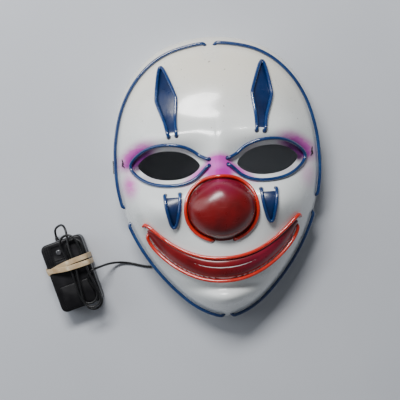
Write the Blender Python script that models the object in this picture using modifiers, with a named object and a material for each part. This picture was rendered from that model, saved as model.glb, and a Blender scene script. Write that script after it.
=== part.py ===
"""Clown mask with light wires, a head strap, a lead and a battery pack.

Metres. The mask lies on its rim: +Z points out of the face and up, +Y to the forehead.
The pack lies beside the lower left cheek. The origin is the middle of the base of the
mask and the pack together.
"""
import bisect
import math

import bmesh
import bpy
from mathutils import Matrix, Vector
from mathutils.bvhtree import BVHTree

# Mask shell
MASK_WIDTH = 0.195
MASK_HEIGHT = 0.266
ARCH_DEPTH = 0.080
ARCH_POWER = 2.4
WALL = 0.0014
NOSE_WIDTH = 0.060
NOSE_HEIGHT = 0.053
NOSE_RISE = 0.022
NOSE_DOWN = 0.614
NOSE_POWER = 2.2
RELIEF_EDGE = 0.78
LIP_WIDTH = 0.136
LIP_THICKNESS = 0.016
LIP_RISE = 0.0035
LIP_MIDDLE_DOWN = 0.815
LIP_CORNER_DOWN = 0.675
LIP_CURVE = 2.2
LIP_END_POWER = 8
EYE_WIDTH = 0.056
EYE_HEIGHT = 0.026
EYE_SPACING = 0.089
EYE_DOWN = 0.460
EYE_TILT = math.radians(4.0)
EYE_PINCH = 0.30
JAW_ARCH_LENGTH = 0.060
JAW_ARCH_HEIGHT = 0.005
JAW_ARCH_DOWN = 0.812

# Light wires
WIRE_DIAMETER = 0.0032
WIRE_BEND = 0.0030
WIRE_HOLE_CLEARANCE = 0.0010
WIRE_TUCK = 0.0030
FIT_GAP = 0.0003
RIM_WIRE_BREAK = 0.008
RIM_WIRE_CHEEK = 0.600
RIM_WIRE_SHARE = (0.925, 0.965)
RIM_WIRE_SHIFT = (0.10, 0.62)
EYE_WIRE_MARGIN = 0.0062
EYE_WIRE_OPENING = 0.0088
EYE_WIRE_START = math.radians(36.0)
DIAMOND_LENGTH = 0.062
DIAMOND_WIDTH = 0.018
DIAMOND_DOWN = 0.238
TEAR_LENGTH = 0.026
TEAR_WIDTH = 0.013
TEAR_DOWN = 0.616
MARK_LEAN = math.radians(6.0)
MARK_INSET = 0.002
MOUTH_WIRE_SPREAD = 0.0036
MOUTH_WIRE_REACH = 0.02
NOSE_WIRE_OPENING = math.radians(46.0)

# Head strap
STRAP_WIDTH = 0.012
STRAP_THICKNESS = 0.0012
STRAP_DOWN = 0.445
STRAP_DRIFT = 0.055
STRAP_SLOT_HEIGHT = 0.022
STRAP_TAB = 0.014
STRAP_SEAT = 0.0007
STRAP_TURN = 0.0012
STRAP_SLOT_MARGIN = 0.001
STRAP_FLOOR_CORNER = 0.006

# Battery pack, its axes turned by PACK_TURN from the mask's
PACK_WIDTH = 0.040
PACK_LENGTH = 0.066
PACK_DEPTH = 0.023
PACK_SPLIT = 0.011
PACK_WALL = 0.0018
PACK_CORNER = 0.0055
PACK_EDGE = 0.0018
PACK_STEP_LENGTH = 0.022
PACK_STEP_HEIGHT = 0.0012
PACK_CENTRE = (-0.1434, -0.0819)
PACK_TURN = math.radians(16.0)
RECESS_SIZE = 0.013
RECESS_DEPTH = 0.0010
LID_ROOF = 0.0028
RECESS_PLACE = (-0.0045, 0.0225)
BUTTON_DIAMETER = 0.0058
BUTTON_FLANGE = 0.0012
BUTTON_CLEARANCE = 0.0003
BUTTON_TRAVEL = 0.0008
BUTTON_LIP = 0.0004
GLAND_DIAMETER = 0.0046
GLAND_LENGTH = 0.004
GLAND_PLACE = (-0.0040, 0.0080)
RUBBER_WIDTH = 0.011
RUBBER_THICKNESS = 0.0011
RUBBER_PLACE = 0.008

# Lead
CORD_DIAMETER = 0.0022
HANK_LENGTH = 0.078
HANK_WIDTH = 0.020
HANK_THICKNESS = 0.008
HANK_PLACE = (0.0095, -0.0015)
HANK_EDGE = 0.0030
JUNCTION_SIZE = (0.0075, 0.016, 0.005)
JUNCTION_OUT = 0.560
JUNCTION_DOWN = 0.773
JUNCTION_SEAT = 0.0006
LEAD_ENTRY = -0.003
CORD_APPROACH = 0.0030
CORD_STEP = 0.0050
CORD_PIECES = ("lead_cord", "cord_hank", "cord_tail")

# Mesh fineness
HALF_COLUMNS = 24
FACE_RINGS = 13
OUTLINE_STEPS = 12
WIRE_STEP = 0.0078

# Face outline: how far down the face, and how far out, as shares of height and half width
OUTLINE_ROWS = (
    # down, out
    (0.006, 0.200),
    (0.030, 0.440),
    (0.075, 0.640),
    (0.145, 0.810),
    (0.235, 0.930),
    (0.340, 0.990),
    (0.430, 1.000),
    (0.520, 0.985),
    (0.620, 0.925),
    (0.710, 0.830),
    (0.800, 0.690),
    (0.880, 0.520),
    (0.945, 0.340),
    (0.985, 0.165),
)

# Smooth swellings of the face: place and half size as shares of the half width (out) and
# the height (down), and rise as a share of the arch depth
FORM_ROWS = (
    # out, down, half size out, half size down, rise
    (0.46, 0.365, 0.38, 0.045, 0.095),
    (0.46, 0.465, 0.36, 0.058, -0.160),
    (0.00, 0.440, 0.14, 0.095, 0.085),
    (0.55, 0.605, 0.26, 0.065, 0.135),
    (0.00, 0.930, 0.24, 0.045, 0.110),
    (0.00, 0.200, 0.60, 0.120, 0.040),
    (0.00, 0.880, 0.36, 0.020, -0.060),
    (0.86, 0.330, 0.16, 0.100, -0.050),
)

# Half of a mark's wire: out as a share of half the mark's width, up as a share of its length
DIAMOND_ROWS = (
    # out, up
    (0.42, 0.00),
    (0.58, 0.20),
    (0.94, 0.46),
    (0.94, 0.54),
    (0.60, 0.76),
    (0.26, 0.94),
)
TEAR_ROWS = (
    # out, up
    (1.00, 1.00),
    (0.86, 0.66),
    (0.60, 0.34),
    (0.36, 0.10),
)

# The lead's route from the junction to the bundle, and its last stretch into the gland.
# The first is in the mask's axes, the second in the pack's.
LEAD_ROUTE = (
    (-0.0588, -0.0760, 0.0250),
    (-0.0592, -0.0775, 0.0110),
    (-0.0606, -0.0792, 0.0040),
    (-0.0640, -0.0815, 0.0016),
    (-0.0715, -0.0822, 0.0014),
    (-0.0800, -0.0800, 0.0014),
    (-0.0920, -0.0766, 0.0018),
    (-0.1030, -0.0755, 0.0050),
    (-0.1110, -0.0762, 0.0135),
    (-0.1165, -0.0776, 0.0230),
)
TAIL_ROUTE = (
    (-0.0040, 0.0400, 0.0082),
    (-0.0030, 0.0437, 0.0105),
    (0.0005, 0.0456, 0.0155),
    (0.0050, 0.0462, 0.0210),
    (0.0085, 0.0452, 0.0262),
)

HALF_WIDTH = MASK_WIDTH / 2
WIRE_RADIUS = WIRE_DIAMETER / 2
CORD_RADIUS = CORD_DIAMETER / 2
WIRE_SEAT = WIRE_RADIUS + FIT_GAP
SKIRT = 0.004
PACK_BASE_HEIGHT = RUBBER_THICKNESS + FIT_GAP
PACK_TOP = PACK_BASE_HEIGHT + PACK_DEPTH
HANK_BASE = PACK_TOP + PACK_STEP_HEIGHT + FIT_GAP


def up_from(down):
    """Y of a place that is a share of the way down the face."""
    return MASK_HEIGHT * (0.5 - down)


NOSE_Y = up_from(NOSE_DOWN)


def smooth_step(low, high, value):
    share = min(max((value - low) / (high - low), 0.0), 1.0)
    return share * share * (3 - 2 * share)


def smooth_curve(points, steps):
    """Points along a smooth curve that passes through the given ones."""
    ends = [points[0] * 2 - points[1]] + list(points) + [points[-1] * 2 - points[-2]]
    curve = []
    for first, start, end, last in zip(ends, ends[1:], ends[2:], ends[3:]):
        for step in range(steps):
            share = step / steps
            bend = 2 * start + (end - first) * share
            bend += (2 * first - 5 * start + 4 * end - last) * share ** 2
            bend += (3 * start - first - 3 * end + last) * share ** 3
            curve.append(bend / 2)
    curve.append(points[-1].copy())
    return curve


def spaced(points, step):
    """The same line with its points an even distance apart."""
    marks = [0.0]
    for start, end in zip(points, points[1:]):
        marks.append(marks[-1] + (end - start).length)
    count = max(2, round(marks[-1] / step))
    line = []
    for index in range(count + 1):
        mark = marks[-1] * index / count
        place = min(max(bisect.bisect(marks, mark), 1), len(points) - 1)
        share = (mark - marks[place - 1]) / (marks[place] - marks[place - 1])
        line.append(points[place - 1].lerp(points[place], share))
    return line


# Face surface


def outline_half():
    """The right half of the rim, from the top of the forehead to the chin."""
    rows = [Vector((out * HALF_WIDTH, up_from(down))) for down, out in OUTLINE_ROWS]
    top = Vector((0.0, up_from(0.0)))
    chin = Vector((0.0, up_from(1.0)))
    mirrored_top = Vector((-rows[0].x, rows[0].y))
    mirrored_chin = Vector((-rows[-1].x, rows[-1].y))
    curve = smooth_curve([mirrored_top, top] + rows + [chin, mirrored_chin], OUTLINE_STEPS)
    return curve[OUTLINE_STEPS:-OUTLINE_STEPS]


OUTLINE = outline_half()
REACH = [(math.atan2(abs(spot.x), spot.y - NOSE_Y), math.hypot(spot.x, spot.y - NOSE_Y)) for spot in OUTLINE]
REACH_ANGLES = [angle for angle, reach in REACH]


def rim_reach(x, y):
    """Distance from the nose's middle to the rim, in the direction of a place."""
    angle = math.atan2(abs(x), y - NOSE_Y)
    place = min(max(bisect.bisect(REACH_ANGLES, angle), 1), len(REACH) - 1)
    low, high = REACH[place - 1], REACH[place]
    share = (angle - low[0]) / (high[0] - low[0])
    return low[1] + (high[1] - low[1]) * share


def lip_line(x):
    """Height up the face of the lips' middle, and half their thickness there."""
    share = min(abs(x) / (LIP_WIDTH / 2), 1.0)
    down = LIP_MIDDLE_DOWN - (LIP_MIDDLE_DOWN - LIP_CORNER_DOWN) * share ** LIP_CURVE
    half = LIP_THICKNESS / 2 * math.sqrt(1 - share ** LIP_END_POWER)
    return up_from(down), half


def lip_rise(x, y):
    middle, half = lip_line(x)
    if abs(y - middle) >= half:
        return 0.0
    return LIP_RISE * math.sqrt(1 - ((y - middle) / half) ** 2)


def nose_rise(x, y):
    reach = math.hypot(x / (NOSE_WIDTH / 2), (y - NOSE_Y) / (NOSE_HEIGHT / 2))
    if reach >= 1:
        return 0.0
    return NOSE_RISE * (1 - reach ** NOSE_POWER) ** 0.5


def face_height(x, y):
    """Height of the face's outer surface above the rim."""
    share = min(math.hypot(x, y - NOSE_Y) / rim_reach(x, y), 1.0)
    arch = ARCH_DEPTH * (1 - share ** ARCH_POWER) ** (1 / ARCH_POWER)
    form = 0.0
    for out, down, half_out, half_down, rise in FORM_ROWS:
        across = (abs(x) - out * HALF_WIDTH) / (half_out * HALF_WIDTH)
        along = (y - up_from(down)) / (half_down * MASK_HEIGHT)
        form += rise * ARCH_DEPTH * math.exp(-across ** 2 - along ** 2)
    form *= 1 - smooth_step(RELIEF_EDGE, 1.0, share)
    return arch + form + lip_rise(x, y) + nose_rise(x, y)


def face_normal(x, y):
    reach = 0.0004
    slope_x = (face_height(x + reach, y) - face_height(x - reach, y)) / (2 * reach)
    slope_y = (face_height(x, y + reach) - face_height(x, y - reach)) / (2 * reach)
    return Vector((-slope_x, -slope_y, 1.0)).normalized()


def column_places(column):
    """Places in one column of the face, from the nose's edge out to the rim."""
    along = column / HALF_COLUMNS * (len(OUTLINE) - 1)
    low = min(int(along), len(OUTLINE) - 2)
    rim = OUTLINE[low].lerp(OUTLINE[low + 1], along - low)
    way = Vector((rim.x, rim.y - NOSE_Y))
    reach = way.length
    way.normalize()
    edge = 1 / math.hypot(way.x / (NOSE_WIDTH / 2), way.y / (NOSE_HEIGHT / 2))
    shares = [edge * share for share in (0.40, 0.72, 0.90, 0.99)]
    shares.append(edge + WIRE_RADIUS / 4)
    for ring in range(1, FACE_RINGS):
        shares.append(edge + (reach - edge) * math.sin(math.pi / 2 * ring / FACE_RINGS))
    return [Vector((way.x * share, NOSE_Y + way.y * share)) for share in shares], rim


def half_face_mesh():
    """Right half of the face as an open surface, with a skirt below the rim."""
    mesh = bmesh.new()
    tip = mesh.verts.new((0.0, NOSE_Y, face_height(0.0, NOSE_Y)))
    columns = []
    for column in range(HALF_COLUMNS + 1):
        places, rim = column_places(column)
        spots = [(spot.x, spot.y, face_height(spot.x, spot.y)) for spot in places]
        spots.append((rim.x, rim.y, 0.0))
        spots.append((rim.x, rim.y, -SKIRT))
        on_middle = column in (0, HALF_COLUMNS)
        columns.append([mesh.verts.new((0.0 if on_middle else x, y, z)) for x, y, z in spots])
    for left, right in zip(columns, columns[1:]):
        mesh.faces.new((tip, right[0], left[0]))
        for ring in range(len(left) - 1):
            mesh.faces.new((left[ring], right[ring], right[ring + 1], left[ring + 1]))
    bmesh.ops.triangulate(mesh, faces=mesh.faces)
    return mesh


# Building helpers


def new_collection(name):
    collection = bpy.data.collections.new(name)
    bpy.context.scene.collection.children.link(collection)
    return collection


def new_material(name, colour, roughness, metallic=0.0):
    material = bpy.data.materials.new(name)
    material.use_nodes = True
    shader = material.node_tree.nodes["Principled BSDF"]
    shader.inputs["Base Color"].default_value = (*colour, 1.0)
    shader.inputs["Roughness"].default_value = roughness
    shader.inputs["Metallic"].default_value = metallic
    return material


def add_object(name, data, collection, material=None, matrix=None):
    piece = bpy.data.objects.new(name, data)
    collection.objects.link(piece)
    if material:
        data.materials.append(material)
    if matrix:
        piece.matrix_world = matrix
    return piece


def mesh_from(shape, name):
    """Turn a bmesh into mesh data with its faces pointing out."""
    data = bpy.data.meshes.new(name)
    shape.to_mesh(data)
    shape.free()
    return data


def add_cutter(name, data, matrix=None):
    cutter = add_object(name, data, CUTTERS, matrix=matrix)
    cutter.hide_render = True
    cutter.display_type = "WIRE"
    return cutter


def cut(piece, cutter):
    modifier = piece.modifiers.new(cutter.name, "BOOLEAN")
    modifier.operation = "DIFFERENCE"
    modifier.solver = "EXACT"
    modifier.object = cutter


def join(piece, other):
    modifier = piece.modifiers.new(other.name, "BOOLEAN")
    modifier.operation = "UNION"
    modifier.solver = "EXACT"
    modifier.object = other


def bevel(piece, width, segments, angle=math.radians(40)):
    modifier = piece.modifiers.new("edges", "BEVEL")
    modifier.width = width
    modifier.segments = segments
    modifier.limit_method = "ANGLE"
    modifier.angle_limit = angle
    modifier.use_clamp_overlap = False


def shade_round(data):
    data.shade_smooth()
    data.set_sharp_from_angle(angle=math.radians(35))


def box_mesh(size, name):
    shape = bmesh.new()
    bmesh.ops.create_cube(shape, size=1.0)
    bmesh.ops.scale(shape, vec=size, verts=shape.verts)
    return mesh_from(shape, name)


def drum_mesh(diameter, length, sides, name):
    shape = bmesh.new()
    radius = diameter / 2
    bmesh.ops.create_cone(shape, cap_ends=True, segments=sides, radius1=radius, radius2=radius, depth=length)
    return mesh_from(shape, name)


def flat_outline_mesh(loops, thickness, name):
    """A flat plate with the given outline, as mesh data centred on its own plane."""
    curve = bpy.data.curves.new(name, "CURVE")
    curve.dimensions = "2D"
    curve.fill_mode = "BOTH"
    curve.extrude = thickness / 2
    for loop in loops:
        spline = curve.splines.new("POLY")
        spline.points.add(len(loop) - 1)
        spline.use_cyclic_u = True
        for point, spot in zip(spline.points, loop):
            point.co = (spot[0], spot[1], 0.0, 1.0)
    shaper = bpy.data.objects.new(name, curve)
    bpy.context.scene.collection.objects.link(shaper)
    bpy.context.view_layer.update()
    evaluated = shaper.evaluated_get(bpy.context.evaluated_depsgraph_get())
    data = bpy.data.meshes.new_from_object(evaluated)
    bpy.data.objects.remove(shaper)
    shape = bmesh.new()
    shape.from_mesh(data)
    bmesh.ops.remove_doubles(shape, verts=shape.verts, dist=0.00001)
    bmesh.ops.recalc_face_normals(shape, faces=shape.faces)
    shape.to_mesh(data)
    shape.free()
    return data


def add_tube(name, points, diameter, material):
    """A round wire through the given points."""
    curve = bpy.data.curves.new(name, "CURVE")
    curve.dimensions = "3D"
    curve.bevel_depth = diameter / 2
    curve.bevel_resolution = 1
    curve.use_fill_caps = True
    spline = curve.splines.new("POLY")
    spline.points.add(len(points) - 1)
    for point, spot in zip(spline.points, points):
        point.co = (*spot, 1.0)
    return add_object(name, curve, PARTS, material)


def arc(centre_x, centre_y, radius, start, end, steps):
    """Points of a round corner, angles in quarter turns."""
    corner = []
    for step in range(steps + 1):
        angle = math.pi / 2 * (start + (end - start) * step / steps)
        corner.append((centre_x + radius * math.cos(angle), centre_y + radius * math.sin(angle)))
    return corner


def rounded_rectangle(width, length, radius, steps):
    outline = []
    for quarter, (side_x, side_y) in enumerate(((1, 1), (-1, 1), (-1, -1), (1, -1))):
        centre_x = side_x * (width / 2 - radius)
        centre_y = side_y * (length / 2 - radius)
        outline += arc(centre_x, centre_y, radius, quarter, quarter + 1, steps)
    return outline


# Light wires laid on the face


def face_tree(data):
    """Search tree of the whole face's outer surface, from its right half."""
    spots = [vertex.co.copy() for vertex in data.vertices]
    sides = [list(polygon.vertices) for polygon in data.polygons]
    count = len(spots)
    spots += [Vector((-spot.x, spot.y, spot.z)) for spot in spots]
    sides += [[count + index for index in reversed(side)] for side in sides]
    return BVHTree.FromPolygons(spots, sides)


def lay_on_face(places, tree, seat):
    """Lift a line of places so that a wire through them rests clear of the face."""
    normals = [face_normal(spot.x, spot.y) for spot in places]
    line = []
    for spot, normal in zip(places, normals):
        start = Vector((spot.x, spot.y, face_height(spot.x, spot.y)))
        line.append(start + normal * seat)
    for sweep in range(8):
        for index in range(len(line) - 1):
            for share in (0.0, 0.2, 0.4, 0.6, 0.8, 1.0):
                probe = line[index].lerp(line[index + 1], share)
                nearest, face_way, face, distance = tree.find_nearest(probe)
                if (probe - nearest).dot(face_way) < 0:
                    distance = -distance
                lack = seat - distance
                if lack > 0:
                    line[index] = line[index] + normals[index] * lack
                    line[index + 1] = line[index + 1] + normals[index + 1] * lack
    return line, normals


def tucked_end(spot, way, normal, holes):
    """Points that turn a wire's end down through its own hole in the face."""
    way = (way - normal * way.dot(normal)).normalized()
    points = []
    for angle in (30, 60, 90):
        turn = math.radians(angle)
        points.append(spot + way * WIRE_BEND * math.sin(turn) - normal * WIRE_BEND * (1 - math.cos(turn)))
    points.append(points[-1] - normal * WIRE_TUCK)
    centre = spot + way * (WIRE_BEND - FIT_GAP / 2) - normal * WIRE_SEAT
    holes.append((centre, normal))
    return points


def add_face_wire(name, places, tree, material, holes):
    """A light wire that lies on the face, with both ends passing through it."""
    line, normals = lay_on_face(spaced(places, WIRE_STEP), tree, WIRE_SEAT)
    head = tucked_end(line[0], line[0] - line[1], normals[0], holes)
    tail = tucked_end(line[-1], line[-1] - line[-2], normals[-1], holes)
    return add_tube(name, list(reversed(head)) + line + tail, WIRE_DIAMETER, material)


def rim_wire_places(side, start, end):
    """Places of one stretch of the wire round the face, between shares of the rim's length."""
    places = []
    steps = 48
    for step in range(steps + 1):
        along = (start + (end - start) * step / steps) * (len(OUTLINE) - 1)
        low = min(int(along), len(OUTLINE) - 2)
        rim = OUTLINE[low].lerp(OUTLINE[low + 1], along - low)
        down = 0.5 - rim.y / MASK_HEIGHT
        top, cheek = RIM_WIRE_SHARE
        share = top + (cheek - top) * smooth_step(*RIM_WIRE_SHIFT, down)
        places.append(Vector((side * rim.x * share, NOSE_Y + (rim.y - NOSE_Y) * share)))
    return places


def rim_length():
    return sum((end - start).length for start, end in zip(OUTLINE, OUTLINE[1:]))


def eye_wire_places():
    """Right eye's wire: the almond outline, open on the nose side, where its ends run in."""
    almond = eye_places(EYE_WIRE_MARGIN, EYE_WIRE_START, 60)
    corner = Vector((EYE_SPACING / 2 - EYE_WIDTH / 2 - EYE_WIRE_MARGIN, up_from(EYE_DOWN)))
    ends = [corner + Vector((0.0, side * EYE_WIRE_OPENING / 2)) for side in (1, -1)]
    return [ends[0]] + almond + [ends[1]]


def eye_places(margin, start, steps):
    """Right eye's almond outline, grown by a margin, from the nose side round and back."""
    half_width = EYE_WIDTH / 2 + margin
    half_height = EYE_HEIGHT / 2 + margin
    centre = Vector((EYE_SPACING / 2, up_from(EYE_DOWN)))
    turn = Matrix.Rotation(EYE_TILT, 2)
    places = []
    for step in range(steps + 1):
        angle = start + (2 * math.pi - 2 * start) * step / steps
        pinch = 1 - EYE_PINCH * math.cos(angle) ** 4
        spot = Vector((-half_width * math.cos(angle), half_height * math.sin(angle) * pinch))
        places.append(centre + turn @ spot)
    return places


def mark_places(rows, width, length, down, over_top):
    """Outline of the right eye's mark above or below it, leaning with the face."""
    centre = Vector((EYE_SPACING / 2 - MARK_INSET, up_from(down)))
    turn = Matrix.Rotation(-MARK_LEAN if over_top else 0.0, 2)
    half = [Vector((out * width / 2, (up - 0.5) * length)) for out, up in rows]
    mirrored = [Vector((-spot.x, spot.y)) for spot in reversed(half)]
    tip_up = 0.5 if over_top else -0.5
    outline = half + [Vector((0.0, tip_up * length))] + mirrored
    return smooth_curve([centre + turn @ spot for spot in outline], 6)


def mouth_places(side):
    """Places along the upper (1) or lower (-1) edge of the lips."""
    steps = 48
    places = []
    for step in range(steps + 1):
        share = 2 * step / steps - 1
        x = LIP_WIDTH / 2 * share
        middle, half = lip_line(x)
        spread = WIRE_RADIUS + 2 * FIT_GAP + MOUTH_WIRE_SPREAD * abs(share) ** 6
        places.append(Vector((x * (1 + MOUTH_WIRE_REACH * side), middle + side * (half + spread))))
    return places


def nose_places():
    steps = 48
    places = []
    grow = WIRE_RADIUS + 2 * FIT_GAP
    for step in range(steps + 1):
        angle = NOSE_WIRE_OPENING / 2 + (2 * math.pi - NOSE_WIRE_OPENING) * step / steps
        x = (NOSE_WIDTH / 2 + grow) * math.sin(angle)
        y = NOSE_Y - (NOSE_HEIGHT / 2 + grow) * math.cos(angle)
        places.append(Vector((x, y)))
    return places


def mirrored(places):
    return [Vector((-spot.x, spot.y)) for spot in places]


def add_light_wires(tree, holes):
    blue = new_material("blue_wire", (0.02, 0.10, 0.36), 0.30)
    red = new_material("red_wire", (0.62, 0.06, 0.03), 0.30)
    pause = (RIM_WIRE_BREAK / 2 + WIRE_BEND + WIRE_DIAMETER) / rim_length()
    for side, hand in ((-1, "left"), (1, "right")):
        upper = rim_wire_places(side, pause, RIM_WIRE_CHEEK - pause)
        lower = rim_wire_places(side, RIM_WIRE_CHEEK + pause, 1 - pause)
        add_face_wire("rim_wire_upper_" + hand, upper, tree, blue, holes)
        add_face_wire("rim_wire_lower_" + hand, lower, tree, blue, holes)
        eye = eye_wire_places()
        diamond = mark_places(DIAMOND_ROWS, DIAMOND_WIDTH, DIAMOND_LENGTH, DIAMOND_DOWN, True)
        tear = mark_places(TEAR_ROWS, TEAR_WIDTH, TEAR_LENGTH, TEAR_DOWN, False)
        if side < 0:
            eye, diamond, tear = mirrored(eye), mirrored(diamond), mirrored(tear)
        add_face_wire("eye_wire_" + hand, eye, tree, blue, holes)
        add_face_wire("diamond_wire_" + hand, diamond, tree, blue, holes)
        add_face_wire("tear_wire_" + hand, tear, tree, blue, holes)
    add_face_wire("nose_wire", nose_places(), tree, red, holes)
    add_face_wire("mouth_wire_upper", mouth_places(1), tree, red, holes)
    add_face_wire("mouth_wire_lower", mouth_places(-1), tree, red, holes)


def wire_hole_cutters(holes):
    """One mesh of short drums, one for each wire end."""
    shape = bmesh.new()
    radius = WIRE_RADIUS + WIRE_HOLE_CLEARANCE
    for centre, normal in holes:
        matrix = Matrix.Translation(centre) @ normal.to_track_quat("Z", "Y").to_matrix().to_4x4()
        bmesh.ops.create_cone(
            shape, cap_ends=True, segments=8, radius1=radius, radius2=radius, depth=6 * WALL, matrix=matrix
        )
    return add_cutter("wire_holes", mesh_from(shape, "wire_holes"))


# Mask shell


def add_shell(data, holes):
    white = new_material("moulded_white", (0.82, 0.81, 0.79), 0.22)
    shell = add_object("mask_shell", data, PARTS, white)
    mirror = shell.modifiers.new("both_sides", "MIRROR")
    mirror.merge_threshold = 0.00005
    wall = shell.modifiers.new("wall", "SOLIDIFY")
    wall.thickness = WALL
    wall.offset = -1.0
    wall.use_even_offset = True
    below = add_cutter("rim_plane", box_mesh((2 * MASK_WIDTH, 2 * MASK_HEIGHT, 4 * SKIRT), "rim_plane"))
    below.location.z = -2 * SKIRT
    cut(shell, below)
    cut(shell, jaw_arch_cutter())
    for side in (-1, 1):
        cut(shell, eye_cutter(side))
        cut(shell, slot_cutter(side))
    cut(shell, wire_hole_cutters(holes))
    shade_round(data)
    return shell


def jaw_arch_cutter():
    """A wide low arch across both sides of the jaw, which lets the lead out."""
    half = JAW_ARCH_LENGTH / 2
    radius = (half ** 2 + JAW_ARCH_HEIGHT ** 2) / (2 * JAW_ARCH_HEIGHT)
    cutter = add_cutter("jaw_arch", drum_mesh(2 * radius, 2 * MASK_WIDTH, 96, "jaw_arch"))
    cutter.rotation_euler = (0.0, math.pi / 2, 0.0)
    cutter.location = (0.0, up_from(JAW_ARCH_DOWN), JAW_ARCH_HEIGHT - radius)
    return cutter


def eye_cutter(side):
    outline = eye_places(0.0, 0.0, 26)[:-1]
    if side < 0:
        outline = mirrored(outline)
    name = "eye_hole_left" if side < 0 else "eye_hole_right"
    cutter = add_cutter(name, flat_outline_mesh([outline], ARCH_DEPTH, name))
    cutter.location.z = ARCH_DEPTH * 0.75
    return cutter


def slot_cutter(side):
    name = "strap_slot_left" if side < 0 else "strap_slot_right"
    size = (12 * WALL, STRAP_WIDTH + 2 * STRAP_SLOT_MARGIN, STRAP_THICKNESS + 4 * FIT_GAP)
    cutter = add_cutter(name, box_mesh(size, name))
    cutter.location = (side * HALF_WIDTH, up_from(STRAP_DOWN), STRAP_SLOT_HEIGHT)
    return cutter


# Head strap


def wall_out(height, least):
    """How far out the wall stands at a height, the least or the most across the strap's width."""
    reaches = []
    for offset in (-0.5, 0.0, 0.5):
        y = up_from(STRAP_DOWN) + offset * STRAP_WIDTH
        low, high = HALF_WIDTH * 0.5, rim_reach(1.0, NOSE_Y + (y - NOSE_Y) / HALF_WIDTH)
        for halving in range(40):
            middle = (low + high) / 2
            inside = math.hypot(middle, y - NOSE_Y) < rim_reach(middle, y)
            if inside and face_height(middle, y) > height:
                low = middle
            else:
                high = middle
        reaches.append(low)
    return min(reaches) if least else max(reaches)


def strap_profile():
    """Side view of the strap's right half, out of the slot's tab and across to the middle."""
    seat = STRAP_SEAT + STRAP_THICKNESS / 2
    slot = STRAP_SLOT_HEIGHT
    floor = FIT_GAP + STRAP_THICKNESS / 2
    turn = STRAP_TURN
    corner = STRAP_FLOOR_CORNER
    out_x = wall_out(slot, False) + seat
    in_x = wall_out(slot, True) - WALL - seat - FIT_GAP
    tab = [(wall_out(z, False) + seat, z) for z in (slot - STRAP_TAB, slot - STRAP_TAB / 2)]
    through = arc(out_x - turn, slot - turn, turn, 0, 1, 2) + arc(in_x + turn, slot - turn, turn, 1, 2, 2)
    foot = [(in_x, slot / 2)] + arc(in_x - corner, floor + corner, corner, 0, -1, 2)
    across = [((in_x - corner) * (1 - step / 8), floor) for step in range(1, 9)]
    return [Vector(spot) for spot in tab + through + foot + across], len(tab + through)


def add_strap():
    """A flat band, laid out flat first and then wrapped along its side view."""
    black = new_material("black_elastic", (0.012, 0.012, 0.013), 0.85)
    profile, bends = strap_profile()
    marks = [0.0]
    for start, end in zip(profile, profile[1:]):
        marks.append(marks[-1] + (end - start).length)
    bent_from = marks[bends - 1]

    def wrapped(mark, y):
        mark = min(mark, 2 * marks[-1] - mark)
        place = min(max(bisect.bisect(marks, mark), 1), len(marks) - 1)
        share = (mark - marks[place - 1]) / (marks[place] - marks[place - 1])
        return profile[place - 1].lerp(profile[place], share), y

    def drift(mark):
        mark = min(mark, 2 * marks[-1] - mark)
        return up_from(STRAP_DOWN) + STRAP_DRIFT * smooth_step(bent_from, marks[-1], mark)

    stations = marks + [2 * marks[-1] - mark for mark in reversed(marks[:-1])]
    shape = bmesh.new()
    rows = []
    for mark in stations:
        side = 1 if mark <= marks[-1] else -1
        slope = (drift(mark + 0.001) - drift(mark - 0.001)) / 0.002
        scale = math.hypot(slope, 1.0)
        row = []
        for offset in (-0.5, 0.0, 0.5):
            along = mark - offset * STRAP_WIDTH * slope / scale
            spot, y = wrapped(along, drift(mark) + offset * STRAP_WIDTH / scale)
            row.append(shape.verts.new((side * spot.x, y, spot.y)))
        rows.append(row)
    for first, second in zip(rows, rows[1:]):
        for index in (0, 1):
            shape.faces.new((first[index], second[index], second[index + 1], first[index + 1]))
    strap = add_object("head_strap", mesh_from(shape, "head_strap"), PARTS, black)
    thick = strap.modifiers.new("thickness", "SOLIDIFY")
    thick.thickness = STRAP_THICKNESS
    thick.offset = 0.0
    thick.use_even_offset = True
    return strap


# Battery pack and lead


PACK_FRAME = Matrix.Translation((*PACK_CENTRE, 0.0)) @ Matrix.Rotation(PACK_TURN, 4, "Z")


def case_half(name, low, high, floor, material):
    """One half of the case: a rounded tray with its floor at the bottom, or at the top if negative."""
    depth = high - low
    outline = rounded_rectangle(PACK_WIDTH, PACK_LENGTH, PACK_CORNER, 4)
    matrix = PACK_FRAME @ Matrix.Translation((0.0, 0.0, (low + high) / 2))
    half = add_object(name, flat_outline_mesh([outline], depth, name), PARTS, material, matrix)
    inner = rounded_rectangle(PACK_WIDTH - 2 * PACK_WALL, PACK_LENGTH - 2 * PACK_WALL, PACK_CORNER - PACK_WALL, 2)
    hollow = add_cutter(name + "_hollow", flat_outline_mesh([inner], depth, name + "_hollow"))
    hollow.matrix_world = matrix @ Matrix.Translation((0.0, 0.0, floor))
    return half, hollow


def pack_cutter(name, data, u, v, z, turn=Matrix.Identity(4)):
    return add_cutter(name, data, PACK_FRAME @ Matrix.Translation((u, v, z)) @ turn)


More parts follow.
